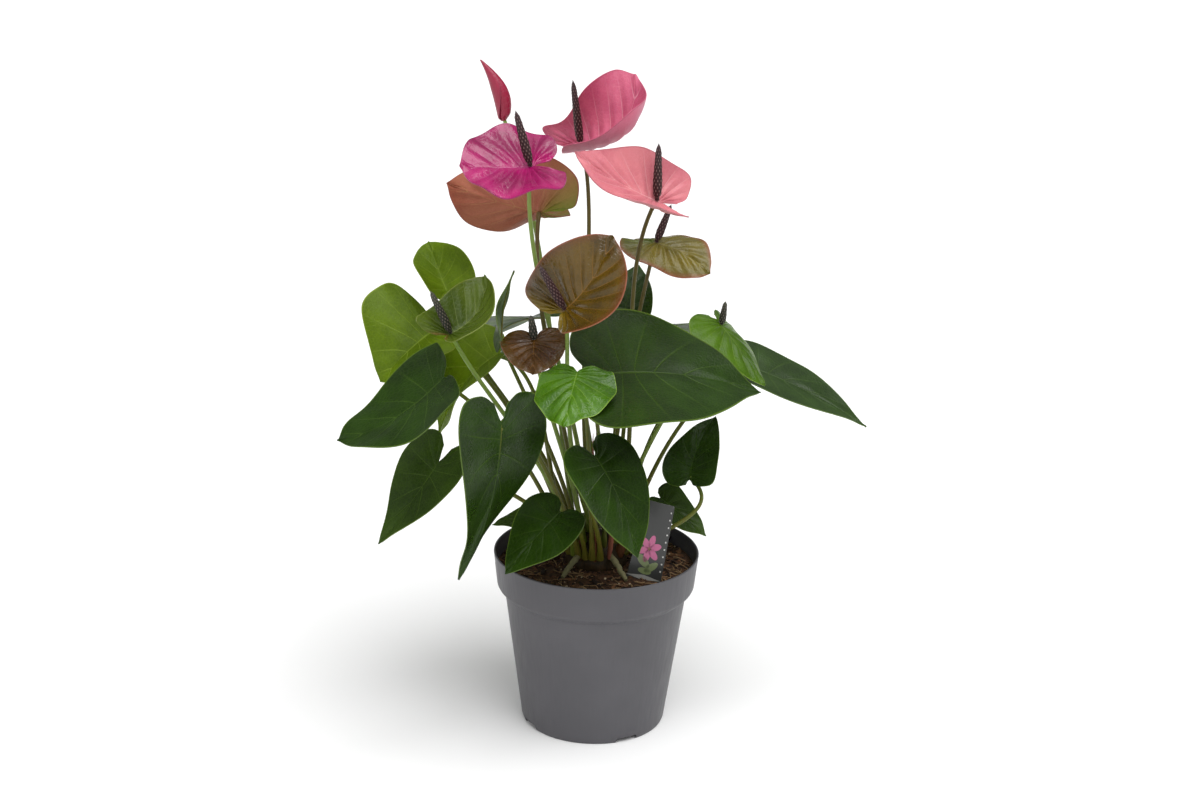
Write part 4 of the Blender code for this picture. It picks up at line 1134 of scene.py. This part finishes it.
@dataclass(frozen=True)
class BarkMix:
    """The growing medium: a mound of bark chips, straw-coloured fibres and a few pale grains."""

    top_radius: float = 0.0822
    wall: float = 0.0024
    chips: int = 950
    fibres: int = 230
    grains: int = 70
    handful: int = 40
    seed: int = 11

    def height(self, x: float, y: float) -> float:
        """Give the mound's surface height over a spot."""
        reach = min(1.0, math.hypot(x, y) / self.top_radius)
        rise = MEDIUM_CROWN * (1 - max(0.0, reach - 0.6) / 0.4)
        lumps = 1.6 * MM * noise.noise(Vector((x * 70, y * 70, 3.0)))
        return MEDIUM_LEVEL + rise + lumps - 1.0 * MM

    def mound(self) -> bmesh.types.BMesh:
        """Turn the body of the medium and roughen its top."""
        top = self.top_radius
        profile = [(top * step / 24, MEDIUM_LEVEL) for step in range(24)]
        profile += [(top, MEDIUM_LEVEL - 2.0 * MM), (0.0801, 0.1233), (0.0739, 0.1183), (0.0591, 0.0103),
                    (0.0562, 0.0071), (0.0, 0.0071)]
        shape = turned(profile, 120)
        for vert in shape.verts:
            if vert.co.z > MEDIUM_LEVEL - 0.5 * MM:
                vert.co.z = self.height(vert.co.x, vert.co.y)
        return shape

    def spot(self, dice: random.Random) -> Vector:
        """Pick a place on the mound, outside the crown."""
        reach = math.sqrt(dice.uniform((0.9 * CROWN_RADIUS)**2, (self.top_radius - 3.5 * MM)**2))
        turn = dice.uniform(0, math.tau)
        x, y = reach * math.cos(turn), reach * math.sin(turn)
        return Vector((x, y, self.height(x, y)))

    def chip(self, shape: bmesh.types.BMesh, dice: random.Random, size: tuple, level: tuple, slot: int) -> None:
        """Drop one irregular chip on the mound.

        Args:
            shape: the bmesh that takes it.
            dice: the seeded random numbers.
            size: half its length, width and thickness.
            level: the lowest and highest tone.
            slot: its material slot.
        """
        spot = self.spot(dice) + Vector((0, 0, dice.uniform(-0.3, 0.8) * size[2]))
        turn = (Matrix.Rotation(dice.uniform(0, math.tau), 4, "Z") @ Matrix.Rotation(dice.gauss(0, 0.35), 4, "X")
                @ Matrix.Rotation(dice.gauss(0, 0.30), 4, "Y"))
        place = Matrix.Translation(spot) @ turn @ Matrix.Diagonal((*size, 1.0))
        tone = shape.faces.layers.float.get("tone") or shape.faces.layers.float.new("tone")
        verts = bmesh.ops.create_icosphere(shape, subdivisions=1, radius=1.0, matrix=place)["verts"]
        shade_of = dice.uniform(*level)
        for vert in verts:
            vert.co += (vert.co - spot) * dice.uniform(-0.28, 0.22)
        for face in {face for vert in verts for face in vert.link_faces}:
            face[tone] = shade_of
            face.material_index = slot

    def build(self) -> None:
        """Build the mound with everything that lies on it."""
        dice = random.Random(self.seed)
        shape = self.mound()
        shape.faces.layers.float.new("tone")
        total = self.chips + self.grains + self.fibres
        for first in range(0, total, self.handful):
            heap = bmesh.new()
            for count in range(first, min(first + self.handful, total)):
                self.drop(heap, dice, count)
            spare = bpy.data.meshes.new("heap")
            heap.to_mesh(spare)
            heap.free()
            shape.from_mesh(spare)
            bpy.data.meshes.remove(spare)
        finishes = [DryFibre("bark_chip", "#7c5536", "#1c1009", (350.0, 350.0, 350.0)),
                    DryFibre("pale_grain", "#b8a88c", "#8c7a60", (700.0, 700.0, 700.0)),
                    DryFibre("straw_fibre", "#b59a72", "#6c5338", (200.0, 200.0, 200.0), 0.7)]
        obj = make_object("grown_medium", shape, [finish.material() for finish in finishes], 25)
        show(obj, "bark_medium", "growing_medium")

    def drop(self, shape: bmesh.types.BMesh, dice: random.Random, count: int) -> None:
        """Drop a chip, a pale grain or a fibre, in that order of counting.

        Args:
            shape: the bmesh that takes it.
            dice: the seeded random numbers.
            count: how many lie there already.
        """
        if count < self.chips:
            length = dice.uniform(1.2, 4.2 if dice.random() < 0.8 else 7.0) * MM
            size = (length, length * dice.uniform(0.25, 0.55), length * dice.uniform(0.12, 0.30))
            self.chip(shape, dice, size, (-0.30, 0.35), 0)
        elif count < self.chips + self.grains:
            size = dice.uniform(0.5, 1.1) * MM
            self.chip(shape, dice, (size, size, size), (0.3, 0.6), 1)
        else:
            self.fibre(shape, dice)

    def fibre(self, shape: bmesh.types.BMesh, dice: random.Random) -> None:
        """Lay one bent fibre on the mound."""
        start = self.spot(dice)
        turn = dice.uniform(0, math.tau)
        bend = dice.uniform(-0.5, 0.5)
        length = dice.uniform(5, 16) * MM
        points, x, y = [], start.x, start.y
        for step in range(6):
            if math.hypot(x, y) > self.top_radius - 3.0 * MM:
                break
            points.append(Vector((x, y, self.height(x, y) + (1.2 + 0.8 * math.sin(step + turn)) * MM)))
            turn += bend / 5 + dice.uniform(-0.15, 0.15)
            x += math.cos(turn) * length / 5
            y += math.sin(turn) * length / 5
        if len(points) > 3:
            size = dice.uniform(0.22, 0.5) * MM
            sweep(shape, points, [size] * (len(points) - 1) + [size * 0.4], 5, 2)


# ---------------------------------------------------------------- pot

@dataclass(frozen=True)
class Pot:
    """The nursery pot: rim band, tapered wall, foot ring with notches, and drain holes."""

    height: float = 0.150
    rim: float = 0.0855
    band: float = 0.030
    taper: float = 0.0030
    step: float = 0.0065
    foot: float = 0.0605
    foot_height: float = 0.005
    foot_width: float = 0.003
    wall: float = 0.0018
    boss: float = 0.012
    notches: int = 4
    notch_bearing: float = -61.0
    notch_size: tuple = (0.024, 0.019, 0.0084)
    drain: float = 0.0045
    drain_inset: float = 0.018

    def profile(self) -> list:
        """Give the section from the middle of the floor, up the inside and down the outside."""
        band_foot = self.height - self.band
        body = self.rim - self.taper - self.step
        floor = self.foot_height + self.wall
        wall = self.wall
        return [(0.0, floor), (self.foot - 2.2 * wall, floor), (self.foot - 0.6 * wall, floor + 0.003),
                (body - wall, band_foot - 0.002), (self.rim - self.taper - wall, band_foot + 0.003),
                (self.rim - wall, self.height - 0.0006), (self.rim - 0.6 * wall, self.height),
                (self.rim - 0.3 * wall, self.height), (self.rim, self.height - 0.0006),
                (self.rim - self.taper, band_foot + 0.002), (self.rim - self.taper - 0.001, band_foot),
                (body, band_foot - 0.005), (self.foot, 0.003), (self.foot - 0.0012, 0.0),
                (self.foot - self.foot_width, 0.0), (self.foot - self.foot_width - 0.0005, self.foot_height),
                (self.boss + 0.0005, self.foot_height), (self.boss, 0.0), (0.0, 0.0)]

    def cutters(self) -> list:
        """Make the notch blocks and drain pins, as helpers to be cut away."""
        made = []
        for count in range(self.notches):
            turn = math.radians(self.notch_bearing + 360.0 * count / self.notches)
            out = Vector((math.cos(turn), math.sin(turn), 0.0))
            shape = bmesh.new()
            bmesh.ops.create_cube(shape, size=1.0, matrix=Matrix.Translation(out * self.foot)
                                  @ Matrix.Rotation(turn, 4, "Z") @ Matrix.Diagonal((*self.notch_size, 1.0)))
            upright = [edge for edge in shape.edges if abs(edge.verts[0].co.z - edge.verts[1].co.z) < MM
                       and abs((edge.verts[0].co - edge.verts[1].co).normalized().dot(out)) > 0.9]
            bmesh.ops.bevel(shape, geom=upright, offset=1.5 * MM, segments=4, profile=0.5, affect="EDGES",
                            material=-1)
            made.append(make_object(f"notch_{count + 1}", shape, []))
            shape = bmesh.new()
            place = Matrix.Translation(out * (self.foot - self.drain_inset) + Vector((0, 0, self.foot_height)))
            bmesh.ops.create_cone(shape, cap_ends=True, segments=32, radius1=self.drain, radius2=self.drain,
                                  depth=0.02, matrix=place)
            made.append(make_object(f"drain_{count + 1}", shape, []))
        return made

    def build(self) -> None:
        """Turn the pot, cut its foot and floor, and dress it."""
        body = make_object("pot_body", turned(rounded(self.profile(), 0.7 * MM), 144), [])
        cutters = self.cutters()
        for cutter in cutters:
            cut = body.modifiers.new(cutter.name, "BOOLEAN")
            cut.object = cutter
            cut.operation = "DIFFERENCE"
            cut.solver = "EXACT"
        shape = applied(body)
        for cutter in cutters:
            bpy.data.objects.remove(cutter, do_unlink=True)
        obj = make_object("nursery_pot", shape, [MouldedPolypropylene().material()], 35)
        show(obj, "pot_plastic", "pot")


# ---------------------------------------------------------------- plant tag

@dataclass(frozen=True)
class PlantTag:
    """The care tag: a dark card with a plain flower picture, a row of dots and a pale foot strip."""

    width: float = 0.030
    taper: float = 0.24
    height: float = 0.080
    thickness: float = 0.0008
    buried: float = 0.014
    reach: float = 0.0542
    bearing: float = -48.0
    corner: float = 0.002

    def place(self) -> Matrix:
        """Give the tag's place, leaning back with its foot in the medium."""
        turn = math.radians(self.bearing)
        spot = Vector((self.reach * math.cos(turn), self.reach * math.sin(turn),
                       MEDIUM_LEVEL + MEDIUM_CROWN * 0.5 - self.buried))
        return (Matrix.Translation(spot) @ Matrix.Rotation(math.radians(-8), 4, "Z")
                @ Matrix.Rotation(math.radians(10), 4, "Y") @ Matrix.Rotation(math.radians(-10), 4, "X")
                @ Matrix.Translation((0, 0, self.height / 2)))

    def disc(self, shape: bmesh.types.BMesh, spot: tuple, size: tuple, turn: float, slot: int,
             sides: int = 28) -> None:
        """Print one flat oval on the front of the tag.

        Args:
            shape: the bmesh that takes it.
            spot: its middle, across and up the card, in metres.
            size: its half width and half height.
            turn: degrees that it leans by.
            slot: its material slot.
            sides: how many sides the oval has.
        """
        place = (Matrix.Translation((spot[0], -self.thickness / 2 - 0.03 * MM, spot[1]))
                 @ Matrix.Rotation(math.radians(turn), 4, "Y") @ Matrix.Rotation(math.pi / 2, 4, "X")
                 @ Matrix.Diagonal((size[0], size[1], 1.0, 1.0)))
        verts = bmesh.ops.create_cone(shape, cap_ends=True, segments=sides, radius1=1.0, radius2=1.0,
                                      depth=0.06 * MM, matrix=place)["verts"]
        for face in {face for vert in verts for face in vert.link_faces}:
            face.material_index = slot

    def build(self) -> None:
        """Build the card and its printed picture."""
        shape = bmesh.new()
        bmesh.ops.create_cube(shape, size=1.0, matrix=Matrix.Diagonal((self.width, self.thickness, self.height, 1.0)))
        across = [edge for edge in shape.edges if abs((edge.verts[0].co - edge.verts[1].co).normalized().y) > 0.9]
        bmesh.ops.bevel(shape, geom=across, offset=self.corner, segments=5, profile=0.5, affect="EDGES", material=-1)
        for spot, size, turn in (((-0.004, -0.010), (0.0075, 0.0034), 35), ((0.004, -0.014), (0.0070, 0.0030), -40),
                                 ((-0.001, -0.018), (0.0060, 0.0026), 5)):
            self.disc(shape, spot, size, turn, 2)
        for petal in range(6):
            lean = math.radians(60 * petal + 20)
            spot = (-0.001 + 0.0056 * math.cos(lean), 0.001 + 0.0062 * math.sin(lean))
            self.disc(shape, spot, (0.0056, 0.0029), -(60 * petal + 20), 1)
        self.disc(shape, (-0.001, 0.001), (0.0017, 0.0017), 0, 3)
        for dot in range(9):
            self.disc(shape, (self.width / 2 - 2.2 * MM, 0.034 - 0.0062 * dot), (0.9 * MM, 0.9 * MM), 45, 4, 4)
        self.disc(shape, (-0.001, -0.0235), (0.0155, 0.0022), 0, 5, 4)
        for vert in shape.verts:
            vert.co.x *= 1 - self.taper * (vert.co.z / self.height + 0.5)
        bmesh.ops.transform(shape, matrix=self.place(), space=Matrix.Identity(4), verts=shape.verts)
        inks = [PrintedCard("tag_card", "#2f302f"), PrintedCard("tag_pink_ink", "#c0608c"),
                PrintedCard("tag_green_ink", "#6f7c50"), PrintedCard("tag_yellow_ink", "#c8b060"),
                PrintedCard("tag_white_ink", "#c8c8c4"), PrintedCard("tag_grey_ink", "#8c8c88")]
        show(make_object("plant_tag", shape, [ink.material() for ink in inks], 30), "label_card", "care_label")


# ---------------------------------------------------------------- studio

@dataclass(frozen=True)
class Studio:
    """A plain pale floor, soft light and the camera."""

    camera_spot: tuple = (0.0, -1.61, 0.804)
    camera_aim: tuple = (0.0, 0.0, 0.281)
    camera_lens: float = 62.31
    camera_roll: float = 1.38
    floor_radius: float = 40.0

    def floor(self) -> None:
        """Lay the floor."""
        shape = bmesh.new()
        bmesh.ops.create_circle(shape, cap_ends=True, segments=96, radius=self.floor_radius)
        material, tree = new_material("studio_floor")
        coords = wire(tree, "TexCoord", take="Object")
        cloud = wire(tree, "TexNoise", {"Vector": coords, "Scale": 1.5, "Detail": 2.0})
        tint = lay_over(tree, linear("#f4f4f4"), cloud, linear("#f7f7f7"))
        shade(tree, {"Base Color": tint, "Roughness": 0.9, "Specular IOR Level": 0.2})
        make_object("studio_floor", shape, [material])

    def soft_light(self, name: str, power: float, spread: float, source: tuple) -> None:
        """Hang one broad soft light.

        Args:
            name: the light's name.
            power: its strength on a surface that faces it.
            spread: how wide it looks from the plant, in degrees.
            source: a point in its direction.
        """
        light = bpy.data.lights.new(name, "SUN")
        light.energy = power
        light.angle = math.radians(spread)
        lamp = bpy.data.objects.new(name, light)
        lamp.matrix_world = Vector(source).to_track_quat("Z", "Y").to_matrix().to_4x4()
        bpy.context.scene.collection.objects.link(lamp)

    def camera(self) -> None:
        """Set the camera that looks slightly down at the plant."""
        data = bpy.data.cameras.new("studio_camera")
        data.lens = self.camera_lens
        data.sensor_width = 36.0
        data.sensor_fit = "HORIZONTAL"
        camera = bpy.data.objects.new("studio_camera", data)
        spot = Vector(self.camera_spot)
        look = (Vector(self.camera_aim) - spot).to_track_quat("-Z", "Y").to_matrix().to_4x4()
        roll = Matrix.Rotation(math.radians(self.camera_roll), 4, "Z")
        camera.matrix_world = Matrix.Translation(spot) @ look @ roll
        bpy.context.scene.collection.objects.link(camera)
        bpy.context.scene.camera = camera

    def build(self) -> None:
        """Set up the floor, the lights, the world and the camera."""
        self.floor()
        self.soft_light("key_light", 2.6, 60, (0.45, -0.45, 1.4))
        self.soft_light("fill_light", 1.3, 100, (-0.5, -0.9, 0.9))
        self.soft_light("back_light", 0.35, 50, (0.1, 0.5, 1.5))
        world = bpy.data.worlds.new("studio_world")
        world.use_nodes = True
        world.node_tree.nodes["Background"].inputs["Color"].default_value = (0.24, 0.24, 0.24, 1.0)
        bpy.context.scene.world = world
        bpy.context.scene.view_settings.view_transform = "Standard"
        self.camera()


def main() -> None:
    """Build every sub-assembly in order."""
    logging.basicConfig(level=logging.INFO, format="%(name)s %(message)s")
    Studio().build()
    Pot().build()
    BarkMix().build()
    PlantTag().build()
    Crown().build()
    for root in (AerialRoot("aerial_root_left", 238.0, 0.024), AerialRoot("aerial_root_right", 298.0, 0.026)):
        root.build()
    for sheath in (Sheath("sheath_left", 1, 260.0, 0.085), Sheath("sheath_centre", 2, 293.0, 0.060),
                   Sheath("sheath_right", 1, 95.0, 0.070)):
        sheath.build()
    for blade in (*LEAVES, *FLOWERS, BUD):
        blade.build()
    LOG.info("CAD nodes replaced: %d", len(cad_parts))


if __name__ == "__main__":
    main()
